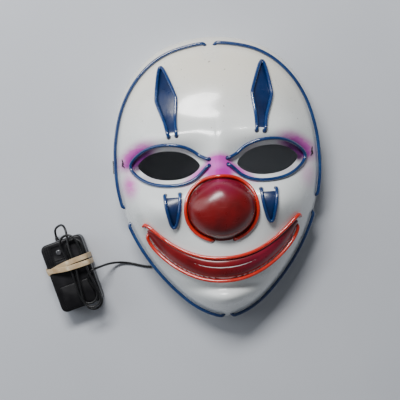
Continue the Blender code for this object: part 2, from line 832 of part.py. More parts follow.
def add_pack():
    """The case's two halves, with a raised end, a square recess and the button's hole."""
    black = new_material("pack_black", (0.015, 0.015, 0.017), 0.42)
    split = PACK_BASE_HEIGHT + PACK_SPLIT
    base, base_hollow = case_half("pack_base", PACK_BASE_HEIGHT, split, PACK_WALL, black)
    bevel(base, PACK_EDGE, 2, math.radians(60))
    cut(base, base_hollow)
    lid, lid_hollow = case_half("pack_lid", split + FIT_GAP, PACK_TOP, -LID_ROOF, black)
    bevel(lid, PACK_EDGE, 2, math.radians(60))
    cut(lid, lid_hollow)
    step_size = (PACK_WIDTH - 2 * PACK_CORNER, PACK_STEP_LENGTH, 2 * PACK_STEP_HEIGHT)
    step_v = PACK_EDGE + (PACK_STEP_LENGTH - PACK_LENGTH) / 2
    join(lid, pack_cutter("raised_end", box_mesh(step_size, "raised_end"), 0.0, step_v, PACK_TOP))
    recess_size = (RECESS_SIZE, RECESS_SIZE, 2 * RECESS_DEPTH)
    cut(lid, pack_cutter("recess", box_mesh(recess_size, "recess"), *RECESS_PLACE, PACK_TOP))
    hole = drum_mesh(BUTTON_DIAMETER + 2 * BUTTON_CLEARANCE, 4 * LID_ROOF, 24, "button_hole")
    cut(lid, pack_cutter("button_hole", hole, *RECESS_PLACE, PACK_TOP))
    add_gland(black)


def add_button():
    """A round push button, held under the lid by its flange."""
    grey = new_material("button_grey", (0.10, 0.10, 0.11), 0.25)
    top = PACK_TOP - RECESS_DEPTH + BUTTON_TRAVEL + BUTTON_LIP
    under_roof = PACK_TOP - LID_ROOF - FIT_GAP
    radius = BUTTON_DIAMETER / 2
    wide = radius + BUTTON_FLANGE
    low = under_roof - BUTTON_FLANGE
    profile = (
        (0.0, top),
        (radius - BUTTON_CLEARANCE, top),
        (radius, top - BUTTON_CLEARANCE),
        (radius, under_roof),
        (wide, under_roof),
        (wide, low),
        (0.0, low),
    )
    shape = bmesh.new()
    spots = [shape.verts.new((across, 0.0, height - top)) for across, height in profile]
    for start, end in zip(spots, spots[1:]):
        shape.edges.new((start, end))
    data = mesh_from(shape, "mode_button")
    matrix = PACK_FRAME @ Matrix.Translation((*RECESS_PLACE, top))
    button = add_object("mode_button", data, PARTS, grey, matrix)
    screw = button.modifiers.new("turned", "SCREW")
    screw.steps = 16
    screw.render_steps = 16
    screw.use_merge_vertices = True
    screw.merge_threshold = 0.00001
    return button


def add_gland(material):
    """A tapered boot on the end of the case, where the lead goes in."""
    shape = bmesh.new()
    bmesh.ops.create_cone(
        shape,
        cap_ends=True,
        segments=16,
        radius1=GLAND_DIAMETER / 2,
        radius2=CORD_RADIUS + FIT_GAP,
        depth=GLAND_LENGTH,
    )
    u, z = GLAND_PLACE
    v = PACK_LENGTH / 2 + FIT_GAP + GLAND_LENGTH / 2
    matrix = PACK_FRAME @ Matrix.Translation((u, v, z)) @ Matrix.Rotation(-math.pi / 2, 4, "X")
    return add_object("pack_gland", mesh_from(shape, "pack_gland"), PARTS, material, matrix)


def convex_hull(spots):
    spots = sorted(set(spots))
    hull = []
    for line in (spots, spots[::-1]):
        chain = []
        for spot in line:
            while len(chain) > 1 and turn_of(chain[-2], chain[-1], spot) <= 0:
                chain.pop()
            chain.append(spot)
        hull += chain[:-1]
    return hull


def turn_of(first, second, third):
    return (second[0] - first[0]) * (third[1] - first[1]) - (second[1] - first[1]) * (third[0] - first[0])


def band_loop(grow):
    """Stretched line round the case and the bundle, seen along the case."""
    side = PACK_WIDTH / 2 - PACK_EDGE
    corners = [
        (side, PACK_BASE_HEIGHT + PACK_EDGE, PACK_EDGE),
        (-side, PACK_BASE_HEIGHT + PACK_EDGE, PACK_EDGE),
        (side, PACK_TOP - PACK_EDGE, PACK_EDGE),
        (-side, PACK_TOP - PACK_EDGE, PACK_EDGE),
    ]
    for hand in (-1, 1):
        across = HANK_PLACE[0] + hand * (HANK_WIDTH / 2 - HANK_EDGE)
        corners.append((across, HANK_BASE + HANK_THICKNESS - HANK_EDGE, HANK_EDGE))
    spots = []
    for across, height, radius in corners:
        spots += arc(across, height, radius + grow, 0, 4, 24)
    return convex_hull([(round(x, 7), round(y, 7)) for x, y in spots])


def add_rubber_band():
    beige = new_material("rubber_beige", (0.62, 0.50, 0.33), 0.6)
    loops = [band_loop(FIT_GAP + RUBBER_THICKNESS), band_loop(FIT_GAP)]
    data = flat_outline_mesh(loops, RUBBER_WIDTH, "rubber_band")
    matrix = PACK_FRAME @ Matrix.Translation((0.0, RUBBER_PLACE, 0.0)) @ Matrix.Rotation(math.pi / 2, 4, "X")
    return add_object("rubber_band", data, PARTS, beige, matrix)


def add_hank(material):
    """Outer shape of the bundled lead, lying along the top of the case."""
    radius = HANK_WIDTH / 2
    straight = HANK_LENGTH / 2 - radius
    outline = arc(0.0, straight, radius, 0, 2, 8) + arc(0.0, -straight, radius, 2, 4, 8)
    data = flat_outline_mesh([outline], HANK_THICKNESS, "cord_hank")
    matrix = PACK_FRAME @ Matrix.Translation((*HANK_PLACE, HANK_BASE + HANK_THICKNESS / 2))
    hank = add_object("cord_hank", data, PARTS, material, matrix)
    bevel(hank, HANK_EDGE, 2, math.radians(60))
    return hank


def junction_matrix(tree):
    """Place of the sleeve on the cheek's inner side, its length pointing down to the rim."""
    x, y = -JUNCTION_OUT * HALF_WIDTH, up_from(JUNCTION_DOWN)
    normal = face_normal(x, y)
    downhill = (normal * normal.z - Vector((0.0, 0.0, 1.0))).normalized()
    across = downhill.cross(normal)
    clear = WALL + JUNCTION_SEAT
    width, length, thickness = JUNCTION_SIZE
    centre = Vector((x, y, face_height(x, y))) - normal * (clear + thickness / 2)
    for sweep in range(8):
        for side in (-0.5, 0.0, 0.5):
            for end in (-0.5, 0.0, 0.5):
                edge = centre + across * side * width + downhill * end * length + normal * thickness / 2
                nearest, face_way, face, distance = tree.find_nearest(edge)
                centre -= normal * max(clear - distance, 0.0)
    matrix = Matrix((across, downhill, normal)).transposed().to_4x4()
    matrix.translation = centre
    return matrix, downhill


def add_lead(tree):
    """The junction's sleeve, the lead to the bundle, the bundle and the last stretch."""
    black = new_material("lead_black", (0.010, 0.010, 0.011), 0.38)
    matrix, downhill = junction_matrix(tree)
    junction = add_object("wire_junction", box_mesh(JUNCTION_SIZE, "wire_junction"), PARTS, black, matrix)
    bevel(junction, JUNCTION_SIZE[2] / 4, 2)
    exit_spot = matrix.translation + downhill * (JUNCTION_SIZE[1] / 2 + FIT_GAP)
    side = Vector((HANK_PLACE[0] + HANK_WIDTH / 2 + FIT_GAP, LEAD_ENTRY, HANK_BASE + HANK_THICKNESS / 2))
    before = side + Vector((CORD_APPROACH, 0.0, 0.0))
    route = [exit_spot, exit_spot + downhill * CORD_APPROACH] + [Vector(spot) for spot in LEAD_ROUTE]
    route += [PACK_FRAME @ before, PACK_FRAME @ side]
    add_tube("lead_cord", spaced(smooth_curve(route, 8), CORD_STEP), CORD_DIAMETER, black)
    add_hank(black)
    u, z = GLAND_PLACE
    gland_end = Vector((u, PACK_LENGTH / 2 + GLAND_LENGTH + 2 * FIT_GAP, z))
    end_v = HANK_PLACE[1] + HANK_LENGTH / 2 + FIT_GAP
    end = Vector((HANK_PLACE[0], end_v, HANK_BASE + HANK_THICKNESS / 2))
    before = end + Vector((0.0, CORD_APPROACH, 0.0))
    route = [gland_end] + [Vector(spot) for spot in TAIL_ROUTE] + [before, end]
    route = [PACK_FRAME @ spot for spot in route]
    add_tube("cord_tail", spaced(smooth_curve(route, 8), CORD_STEP), CORD_DIAMETER, black)


def centre_on_base():
    """Hang everything on one empty, whose place puts the origin in the middle of the base."""
    frame = bpy.data.objects.new("mask_frame", None)
    bpy.context.scene.collection.objects.link(frame)
    for piece in list(PARTS.objects) + list(CUTTERS.objects):
        piece.parent = frame
    bpy.context.view_layer.update()
    graph = bpy.context.evaluated_depsgraph_get()
    corners = []
    for piece in PARTS.objects:
        if piece.name not in CORD_PIECES:
            solid = piece.evaluated_get(graph)
            data = solid.to_mesh()
            corners += [solid.matrix_world @ vertex.co for vertex in data.vertices]
            solid.to_mesh_clear()
    for axis in (0, 1):
        places = [corner[axis] for corner in corners]
        frame.location[axis] = -(min(places) + max(places)) / 2


def main():
    data = mesh_from(half_face_mesh(), "mask_shell")
    tree = face_tree(data)
    holes = []
    add_light_wires(tree, holes)
    add_shell(data, holes)
    add_strap()
    add_pack()
    add_button()
    add_rubber_band()
    add_lead(tree)
    centre_on_base()


for leftover in list(bpy.data.objects):
    bpy.data.objects.remove(leftover)
PARTS = new_collection("clown_mask")
CUTTERS = new_collection("cutters")
main()
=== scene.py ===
"""Looks of the clown mask: fine shell and paint, light wires, strap, lead and battery pack.

Metres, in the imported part's frame. The face is worked out in the mask's own axes, whose
origin is the middle of its rim, and the battery pack in the pack's axes.
"""
import bisect
import math

import bmesh
import bpy
from mathutils import Matrix, Vector
from mathutils.bvhtree import BVHTree


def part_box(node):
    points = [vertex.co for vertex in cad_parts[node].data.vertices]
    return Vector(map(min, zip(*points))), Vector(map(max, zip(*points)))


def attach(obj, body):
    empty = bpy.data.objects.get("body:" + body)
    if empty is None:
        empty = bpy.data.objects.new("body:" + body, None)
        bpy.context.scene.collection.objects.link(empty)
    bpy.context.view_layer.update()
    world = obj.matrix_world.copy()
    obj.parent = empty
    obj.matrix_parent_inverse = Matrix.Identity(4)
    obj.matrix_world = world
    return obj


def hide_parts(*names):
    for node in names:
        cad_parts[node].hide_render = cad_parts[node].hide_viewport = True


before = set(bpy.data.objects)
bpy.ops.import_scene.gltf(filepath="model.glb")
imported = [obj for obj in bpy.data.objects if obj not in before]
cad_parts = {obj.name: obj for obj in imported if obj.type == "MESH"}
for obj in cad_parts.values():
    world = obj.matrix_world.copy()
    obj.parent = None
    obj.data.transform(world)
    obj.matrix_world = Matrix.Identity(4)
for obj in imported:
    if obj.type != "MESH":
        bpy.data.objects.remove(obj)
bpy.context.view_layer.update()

# Mask shell, as in the part's source
MASK_WIDTH = 0.195
MASK_HEIGHT = 0.266
ARCH_DEPTH = 0.080
ARCH_POWER = 2.4
WALL = 0.0014
NOSE_WIDTH = 0.060
NOSE_HEIGHT = 0.053
NOSE_RISE = 0.022
NOSE_DOWN = 0.614
NOSE_POWER = 2.2
RELIEF_EDGE = 0.78
LIP_WIDTH = 0.136
LIP_THICKNESS = 0.016
LIP_RISE = 0.0035
LIP_MIDDLE_DOWN = 0.815
LIP_CORNER_DOWN = 0.675
LIP_CURVE = 2.2
LIP_END_POWER = 8
EYE_WIDTH = 0.056
EYE_HEIGHT = 0.026
EYE_SPACING = 0.089
EYE_DOWN = 0.460
EYE_TILT = math.radians(4.0)
EYE_PINCH = 0.30
JAW_ARCH_LENGTH = 0.060
JAW_ARCH_HEIGHT = 0.005
JAW_ARCH_DOWN = 0.812

# Light wires
WIRE_DIAMETER = 0.0032
WIRE_BEND = 0.0030
WIRE_HOLE_CLEARANCE = 0.0005
WIRE_TUCK = 0.0030
FIT_GAP = 0.0003
RIM_WIRE_BREAK = 0.008
RIM_WIRE_CHEEK = 0.600
RIM_WIRE_SHARE = (0.925, 0.965)
RIM_WIRE_SHIFT = (0.10, 0.62)
EYE_WIRE_MARGIN = 0.0062
EYE_WIRE_OPENING = 0.0088
EYE_WIRE_START = math.radians(36.0)
DIAMOND_LENGTH = 0.062
DIAMOND_WIDTH = 0.018
DIAMOND_DOWN = 0.238
TEAR_LENGTH = 0.026
TEAR_WIDTH = 0.013
TEAR_DOWN = 0.616
MARK_LEAN = math.radians(6.0)
MARK_INSET = 0.002
MOUTH_WIRE_SPREAD = 0.0036
MOUTH_WIRE_REACH = 0.02
NOSE_WIRE_OPENING = math.radians(46.0)

# Head strap
STRAP_WIDTH = 0.012
STRAP_THICKNESS = 0.0012
STRAP_DOWN = 0.445
STRAP_DRIFT = 0.055
STRAP_SLOT_HEIGHT = 0.022
STRAP_TAB = 0.014
STRAP_SEAT = 0.0007
STRAP_TURN = 0.0012
STRAP_SLOT_MARGIN = 0.001
STRAP_FLOOR_CORNER = 0.006
STITCH_DIAMETER = 0.0010
STITCH_RISE = 0.0007
STITCH_SINK = 0.0004

# Battery pack
PACK_WIDTH = 0.040
PACK_LENGTH = 0.066
PACK_DEPTH = 0.023
PACK_SPLIT = 0.011
PACK_CORNER = 0.0055
PACK_EDGE = 0.0018
PACK_STEP_LENGTH = 0.022
PACK_STEP_HEIGHT = 0.0012
PACK_CENTRE = (-0.1434, -0.0819)
PACK_TURN = math.radians(16.0)
RECESS_SIZE = 0.013
RECESS_DEPTH = 0.0010
RECESS_PLACE = (-0.0045, 0.0225)
BUTTON_DIAMETER = 0.0058
BUTTON_TRAVEL = 0.0008
BUTTON_LIP = 0.0004
BUTTON_HOLE_DEPTH = 0.0040
BUTTON_CAP_DEPTH = 0.0026
BUTTON_GAP = 0.0003
GLAND_DIAMETER = 0.0046
GLAND_LENGTH = 0.004
GLAND_GROOVE = 0.00028
GLAND_PLACE = (-0.0040, 0.0080)
RUBBER_WIDTH = 0.011
RUBBER_THICKNESS = 0.0011
RUBBER_PLACE = 0.008
BAND_STRIP = 0.0047
BAND_SPREAD = 0.0031
BAND_SWING = 2.4
BAND_START = -0.015
BAND_FLATNESS = 0.82
BAND_ROUNDING = 0.3
BAND_CLOTH_LENGTH = 40.0

# Raised and sunk parts of the case: sizes, and each one's round corner and edge
PANEL_SIZE = (0.0125, 0.0050, 0.0012)
PANEL_DROP = 0.0105
RIDGE_SIZE = (0.0011, 0.0170, 0.0014)
RIDGE_PLACE = (-0.0172, 0.0215)
RIDGE_PITCH = 0.0021
RIDGE_COUNT = 3
STEP_ROUNDING = (0.0015, 0.0006)
PANEL_ROUNDING = (0.0010, 0.0003)
RIDGE_ROUNDING = (0.0004, 0.0003)
RECESS_ROUNDING = (0.0012, 0.0002)

# Lead
CORD_DIAMETER = 0.0022
HANK_LENGTH = 0.078
HANK_WIDTH = 0.020
HANK_THICKNESS = 0.008
HANK_PLACE = (0.0095, -0.0015)
HANK_EDGE = 0.0030
JUNCTION_SIZE = (0.0075, 0.016, 0.005)
JUNCTION_OUT = 0.560
JUNCTION_DOWN = 0.773
JUNCTION_SEAT = 0.0006
LEAD_ENTRY = -0.003
CORD_APPROACH = 0.0030
LEAD_INTO = (-0.0032, -0.0012, -0.0014)
LEAD_BEND = (-0.0068, -0.0064, -0.0024)
TAIL_RISE = (-0.0030, -0.0150)

# Fineness of this scene's meshes
HALF_COLUMNS = 120
FACE_RINGS = 66
NOSE_RINGS = 16
OUTLINE_STEPS = 12
WIRE_STEP = 0.0018
CORD_STEP = 0.0015
MARK_STEP = 0.0008
STRAP_STEP = 0.0008
BAND_STEP = 0.0012
ROUTE_STEPS = 120
OVAL_SIDES = 96
TURNED_SIDES = 48
GLAND_SIDES = 32
WIRE_HOLE_SIDES = 20
EYE_WIRE_STEPS = 60
MARK_STEPS = 6
LEAD_STEPS = 10
CASE_CORNER_STEPS = 10
BLOCK_CORNER_STEPS = 5
BAND_CORNER_STEPS = 24
NOSE_PAINT_RINGS = 36
LIP_COLUMNS = 160
LIP_TURNS = 20
STRAP_STATIONS = 420
STRAP_STRIPS = 10
STITCH_STEPS = 12
GLAND_STEPS = 12
FOLD_STEPS = 8
JAW_ARCH_SIDES = 240
SEAT_SWEEPS = 8
HALVINGS = 40
MERGE_GAP = 0.000002
MIDDLE_GAP = 0.00002

# Angles, in degrees, from which an edge is shaded as a sharp one
SHELL_SHARP = 38.0
CASE_SHARP = 32.0
BAND_SHARP = 50.0
PLAIN_SHARP = 40.0
SOFT_SHARP = 60.0
BEVEL_SHARP = 60.0

# Paint: how proud of the face, how deep its hidden foot, and the line where the lips meet
PAINT_THICKNESS = 0.00018
PAINT_DEPTH = 0.0004
FLANGE_TURN = 0.9
CUSHION_POWER = 12
CREASE_DEPTH = 0.16
CREASE_PLACE = 0.10
CREASE_WIDTH = 0.10
LIP_END_GAP = 0.0001

# Face outline: how far down the face, and how far out, as shares of height and half width
OUTLINE_ROWS = (
    # down, out
    (0.006, 0.200),
    (0.030, 0.440),
    (0.075, 0.640),
    (0.145, 0.810),
    (0.235, 0.930),
    (0.340, 0.990),
    (0.430, 1.000),
    (0.520, 0.985),
    (0.620, 0.925),
    (0.710, 0.830),
    (0.800, 0.690),
    (0.880, 0.520),
    (0.945, 0.340),
    (0.985, 0.165),
)

# Smooth swellings of the face: place and half size as shares of the half width (out) and
# the height (down), and rise as a share of the arch depth
FORM_ROWS = (
    # out, down, half size out, half size down, rise
    (0.46, 0.365, 0.38, 0.045, 0.095),
    (0.46, 0.465, 0.36, 0.058, -0.160),
    (0.00, 0.440, 0.14, 0.095, 0.085),
    (0.55, 0.605, 0.26, 0.065, 0.135),
    (0.00, 0.930, 0.24, 0.045, 0.110),
    (0.00, 0.200, 0.60, 0.120, 0.040),
    (0.00, 0.880, 0.36, 0.020, -0.060),
    (0.86, 0.330, 0.16, 0.100, -0.050),
)

# Half of a mark's wire: out as a share of half the mark's width, up as a share of its length
DIAMOND_ROWS = (
    # out, up
    (0.42, 0.00),
    (0.58, 0.20),
    (0.94, 0.46),
    (0.94, 0.54),
    (0.60, 0.76),
    (0.26, 0.94),
)
TEAR_ROWS = (
    # out, up
    (1.00, 1.00),
    (0.86, 0.66),
    (0.60, 0.34),
    (0.36, 0.10),
)

# The lead's route from the junction to the bundle, in the mask's axes, and its last stretch
# from the bundle into the gland, in the pack's axes
LEAD_ROUTE = (
    (-0.0588, -0.0760, 0.0250),
    (-0.0592, -0.0775, 0.0110),
    (-0.0606, -0.0792, 0.0040),
    (-0.0640, -0.0815, 0.0016),
    (-0.0715, -0.0822, 0.0014),
    (-0.0800, -0.0800, 0.0014),
    (-0.0920, -0.0766, 0.0018),
    (-0.1030, -0.0755, 0.0050),
    (-0.1110, -0.0762, 0.0135),
    (-0.1165, -0.0776, 0.0230),
)
TAIL_ROUTE = (
    (-0.0040, 0.0400, 0.0082),
    (-0.0030, 0.0437, 0.0105),
    (0.0005, 0.0456, 0.0155),
    (0.0050, 0.0462, 0.0210),
    (0.0085, 0.0452, 0.0262),
)

# Turns of the bundled lead, from its middle: where each turn's upper and lower folds end,
# how far they lie to the side, and where its two runs pass under the rubber band
HANK_TURNS = (
    # top, bottom, top side, bottom side, left run, right run
    (0.0318, -0.0378, 0.0020, 0.0020, -0.0052, 0.0006),
    (0.0374, -0.0312, -0.0020, 0.0000, -0.0078, 0.0066),
    (0.0346, -0.0350, 0.0014, 0.0018, -0.0026, 0.0066),
)
HANK_FOLD = 0.0082
LEAD_EASING = 12

# Stitches on the picture's right, from the middle of the mask
STITCH_ROWS = (
    # x, y, half length, lean
    (0.0868, 0.0180, 0.0026, 0.3),
    (0.0872, 0.0162, 0.0026, -0.2),
    (0.0866, 0.0144, 0.0024, 0.5),
)

# Profile of the button
BUTTON_ROWS = (
    # share of its radius, depth below its top
    (0.0, 0.0),
    (0.35, 0.00004),
    (0.62, 0.00014),
    (0.80, 0.00032),
    (0.93, 0.00062),
    (1.0, 0.0011),
    (1.0, BUTTON_CAP_DEPTH),
    (0.0, BUTTON_CAP_DEPTH),
)

# Airbrushed tints: the bridge's, and the ones beside it, which are mirrored. Two of those beside it
# also stand for painted shade at the eye holes: a near-black purple spot at each hole's outer corner,
# and a grey-purple patch along its lower edge. Each has a colour, a strength and a soft round patch
# of the face.
BRIDGE_TINTS = (
    # colour, strength, (x, y, half width, half height, turn)
    ((0.66, 0.05, 0.55), 3.00, (0, 0.006, 0.018, 0.017, 0)),
    ((0.56, 0.03, 0.42), 1.80, (0, -0.001, 0.018, 0.01, 0)),
    ((0.78, 0.15, 0.67), 1.20, (0, 0.0085, 0.007, 0.005, 0)),
)
SIDE_TINTS_AND_SHADE = (
    # colour, strength left, strength right, (out, y, half width, half height, turn)
    ((0.64, 0.08, 0.52), 1.50, 1.50, (0.016, 0.003, 0.016, 0.006, -0.6)),
    ((0.66, 0.14, 0.56), 0.80, 0.80, (0.026, -0.003, 0.015, 0.006, -0.7)),
    ((0.56, 0.05, 0.44), 1.60, 1.60, (0.074, 0.0215, 0.03, 0.015, -0.45)),
    ((0.18, 0.012, 0.2), 1.60, 1.60, (0.0715, 0.019, 0.022, 0.0095, -0.5)),
    # the airbrush's dark purple, darkened to near black as painted shade at the eye hole's outer corner
    ((0.07, 0.01, 0.07), 1.20, 1.20, (0.073, 0.0115, 0.009, 0.0065, -0.5)),
    # painted shade: grey-purple along the lower edge of the eye hole
    ((0.42, 0.36, 0.42), 0.60, 0.60, (0.062, 0.001, 0.018, 0.008, 0.3)),
    ((0.66, 0.1, 0.5), 1.00, 0.45, (0.0815, -0.005, 0.013, 0.018, 0)),
)
TINT_LIMIT = 0.95
SPOT_DEPTH = 10.0

SIDES = ((-1, "left"), (1, "right"))

HALF_WIDTH = MASK_WIDTH / 2
WIRE_RADIUS = WIRE_DIAMETER / 2
WIRE_SEAT = WIRE_RADIUS + FIT_GAP
CORD_RADIUS = CORD_DIAMETER / 2
SKIRT = 0.004
PACK_BASE_HEIGHT = RUBBER_THICKNESS + FIT_GAP
PACK_TOP = PACK_BASE_HEIGHT + PACK_DEPTH
HANK_BASE = PACK_TOP + PACK_STEP_HEIGHT + FIT_GAP

shell_low, shell_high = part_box("mask_shell")
MASK_FRAME = Matrix.Translation(((shell_low.x + shell_high.x) / 2, (shell_low.y + shell_high.y) / 2, 0.0))
PACK_FRAME = Matrix.Translation((*PACK_CENTRE, 0.0)) @ Matrix.Rotation(PACK_TURN, 4, "Z")
PACK_IN_SCENE = MASK_FRAME @ PACK_FRAME

# Camera, floor and lights
PHOTO_FRAME = 0.374
PHOTO_DISTANCE = 0.95
PHOTO_HEIGHT = 0.025
PHOTO_MIDDLE = (-0.0186, -0.0215)
PHOTO_ROLL = math.radians(3.9)
SENSOR = 0.036
WORLD_COLOUR = (0.90, 0.93, 1.0)
WORLD_STRENGTH = 0.15
LIGHT_AIM = (0.0, 0.0, 0.03)
LIGHT_ROWS = (
    # name, place, size, power, colour
    ("key", (-0.22, 0.72, 1.10), (0.75, 0.28), 21.0, (1.0, 1.0, 1.0)),
    ("side_light", (-0.95, 0.30, 0.60), (1.0, 1.3), 6.0, (0.92, 0.96, 1.0)),
)
FLOOR_SIZE = 3.0


def linked(name, data):
    """A new object in the scene."""
    thing = bpy.data.objects.new(name, data)
    bpy.context.scene.collection.objects.link(thing)
    return thing


def add_camera():
    """Straight above the mask, turned as the photograph shows it."""
    camera = linked("camera", bpy.data.cameras.new("camera"))
    camera.data.sensor_width = SENSOR * 1000
    camera.data.lens = SENSOR * 1000 * PHOTO_DISTANCE / PHOTO_FRAME
    camera.data.clip_start = 0.05
    place = Matrix.Translation((*PHOTO_MIDDLE, PHOTO_HEIGHT + PHOTO_DISTANCE))
    camera.matrix_world = MASK_FRAME @ place @ Matrix.Rotation(-PHOTO_ROLL, 4, "Z")
    bpy.context.scene.camera = camera


def add_light(name, place, size, power, colour):
    light = bpy.data.lights.new(name, "AREA")
    light.shape = "ELLIPSE"
    light.size, light.size_y = size
    light.energy = power
    light.color = colour
    lamp = linked(name, light)
    lamp.location = place
    lamp.rotation_euler = (Vector(LIGHT_AIM) - Vector(place)).to_track_quat("-Z", "Y").to_euler()


def add_studio():
    world = bpy.data.worlds.new("studio")
    bpy.context.scene.world = world
    world.use_nodes = True
    sky = world.node_tree.nodes["Background"].inputs
    sky["Color"].default_value = (*WORLD_COLOUR, 1.0)
    sky["Strength"].default_value = WORLD_STRENGTH
    for row in LIGHT_ROWS:
        add_light(*row)
    shape = bmesh.new()
    bmesh.ops.create_grid(shape, x_segments=2, y_segments=2, size=FLOOR_SIZE)
    floor = linked("floor", mesh_from(shape, "floor"))
    finish = Finish("floor_paper", (0.56, 0.58, 0.62), 0.75)
    finish.mottle((0.53, 0.55, 0.59), 6.0, 3, 0.3, 0.7)
    finish.grain(900.0, 2, 0.00005, 0.3)
    floor.data.materials.append(finish.material)


# Materials


class Finish:
    """A procedural material, built up layer by layer from one colour."""

    def __init__(self, name, colour, roughness, coat=0.0, coat_roughness=0.08, specular=0.5):
        self.material = bpy.data.materials.new(name)
        self.material.use_nodes = True
        self.tree = self.material.node_tree
        self.shader = self.tree.nodes["Principled BSDF"]
        self.shader.inputs["Base Color"].default_value = (*colour, 1.0)
        self.shader.inputs["Roughness"].default_value = roughness
        self.shader.inputs["Coat Weight"].default_value = coat
        self.shader.inputs["Coat Roughness"].default_value = coat_roughness
        self.shader.inputs["Specular IOR Level"].default_value = specular
        self.coordinates = self.add("ShaderNodeTexCoord").outputs
        self.place = self.coordinates["Object"]
        self.colour = colour
        self.normal = None

    def add(self, kind, **settings):
        node = self.tree.nodes.new(kind)
        for name, value in settings.items():
            setattr(node, name, value)
        return node

    def put(self, socket, value):
        """Set a socket to a number or colour, or link it to another node's output."""
        if isinstance(value, bpy.types.NodeSocket):
            self.tree.links.new(value, socket)
        else:
            socket.default_value = value

    def math(self, operation, first, second):
        node = self.add("ShaderNodeMath", operation=operation)
        self.put(node.inputs[0], first)
        self.put(node.inputs[1], second)
        return node.outputs[0]

    def times(self, first, second):
        return self.math("MULTIPLY", first, second)

    def part(self, vector, axis):
        """One part of a vector: X, Y or Z."""
        node = self.add("ShaderNodeSeparateXYZ")
        self.put(node.inputs[0], vector)
        return node.outputs[axis]

    def stretched(self, scale, turn, source=None):
        node = self.add("ShaderNodeMapping")
        self.put(node.inputs["Vector"], source or self.place)
        node.inputs["Scale"].default_value = scale
        node.inputs["Rotation"].default_value = (0.0, 0.0, turn)
        return node.outputs["Vector"]

    def noise(self, scale, detail, vector=None, distortion=0.0):
        node = self.add("ShaderNodeTexNoise")
        self.put(node.inputs["Vector"], vector or self.place)
        node.inputs["Scale"].default_value = scale
        node.inputs["Detail"].default_value = detail
        node.inputs["Distortion"].default_value = distortion
        return node.outputs["Fac"]

    def span(self, value, low, high, to_low=0.0, to_high=1.0):
        """The value's range from low to high, smoothly spread over another range."""
        node = self.add("ShaderNodeMapRange", interpolation_type="SMOOTHSTEP")
        self.put(node.inputs["Value"], value)
        node.inputs["From Min"].default_value = low
        node.inputs["From Max"].default_value = high
        node.inputs["To Min"].default_value = to_low
        node.inputs["To Max"].default_value = to_high
        return node.outputs["Result"]

    def tint(self, colour, factor):
        """Lay another colour over the surface where the factor is high.

        The mix node's colours are its inputs 6 and 7 and its output 2.
        """
        node = self.add("ShaderNodeMix", data_type="RGBA")
        self.put(node.inputs["Factor"], factor)
        first = self.colour if isinstance(self.colour, bpy.types.NodeSocket) else (*self.colour, 1.0)
        self.put(node.inputs[6], first)
        node.inputs[7].default_value = (*colour, 1.0)
        self.colour = node.outputs[2]
        self.put(self.shader.inputs["Base Color"], self.colour)

    def mottle(self, colour, scale, detail, low, high, amount=1.0):
        """Lay another colour over the surface in soft patches."""
        self.tint(colour, self.span(self.noise(scale, detail), low, high, 0.0, amount))

    def roughen(self, scale, detail, low, high):
        noise = self.noise(scale, detail)
        self.put(self.shader.inputs["Roughness"], self.span(noise, 0.0, 1.0, low, high))

    def grain(self, scale, detail, distance, strength):
        self.relief(self.noise(scale, detail), distance, strength)

    def relief(self, height, distance, strength):
        node = self.add("ShaderNodeBump")
        node.inputs["Distance"].default_value = distance
        node.inputs["Strength"].default_value = strength
        self.put(node.inputs["Height"], height)
        if self.normal:
            self.put(node.inputs["Normal"], self.normal)
        self.normal = node.outputs["Normal"]
        self.put(self.shader.inputs["Normal"], self.normal)

    def spot(self, x, y, half_x, half_y, turn):
        """A soft round patch on the face, 1 in its middle and 0 from its edge on."""
        node = self.add("ShaderNodeMapping", vector_type="TEXTURE")
        self.put(node.inputs["Vector"], self.place)
        node.inputs["Location"].default_value = (x, y, 0.0)
        node.inputs["Rotation"].default_value = (0.0, 0.0, turn)
        node.inputs["Scale"].default_value = (half_x, half_y, SPOT_DEPTH)
        reach = self.add("ShaderNodeVectorMath", operation="LENGTH")
        self.put(reach.inputs[0], node.outputs["Vector"])
        return self.span(reach.outputs["Value"], 1.0, 0.0)

    def line(self, x, y, half_x, half_y, turn):
        """A short scuff on the face."""
        return self.times(self.spot(x, y, half_x, half_y, turn), self.noise(700.0, 3))


def airbrush_and_shade_rows():
    """Every airbrushed tint and painted shade of the face: the bridge's, then the left side's, then the
    right side's.
    """
    rows = list(BRIDGE_TINTS)
    for side in (-1, 1):
        for colour, left, right, (out, y, half_x, half_y, turn) in SIDE_TINTS_AND_SHADE:
            strength = left if side < 0 else right
            rows.append((colour, strength, (side * out, y, half_x, half_y, side * turn)))
    return rows


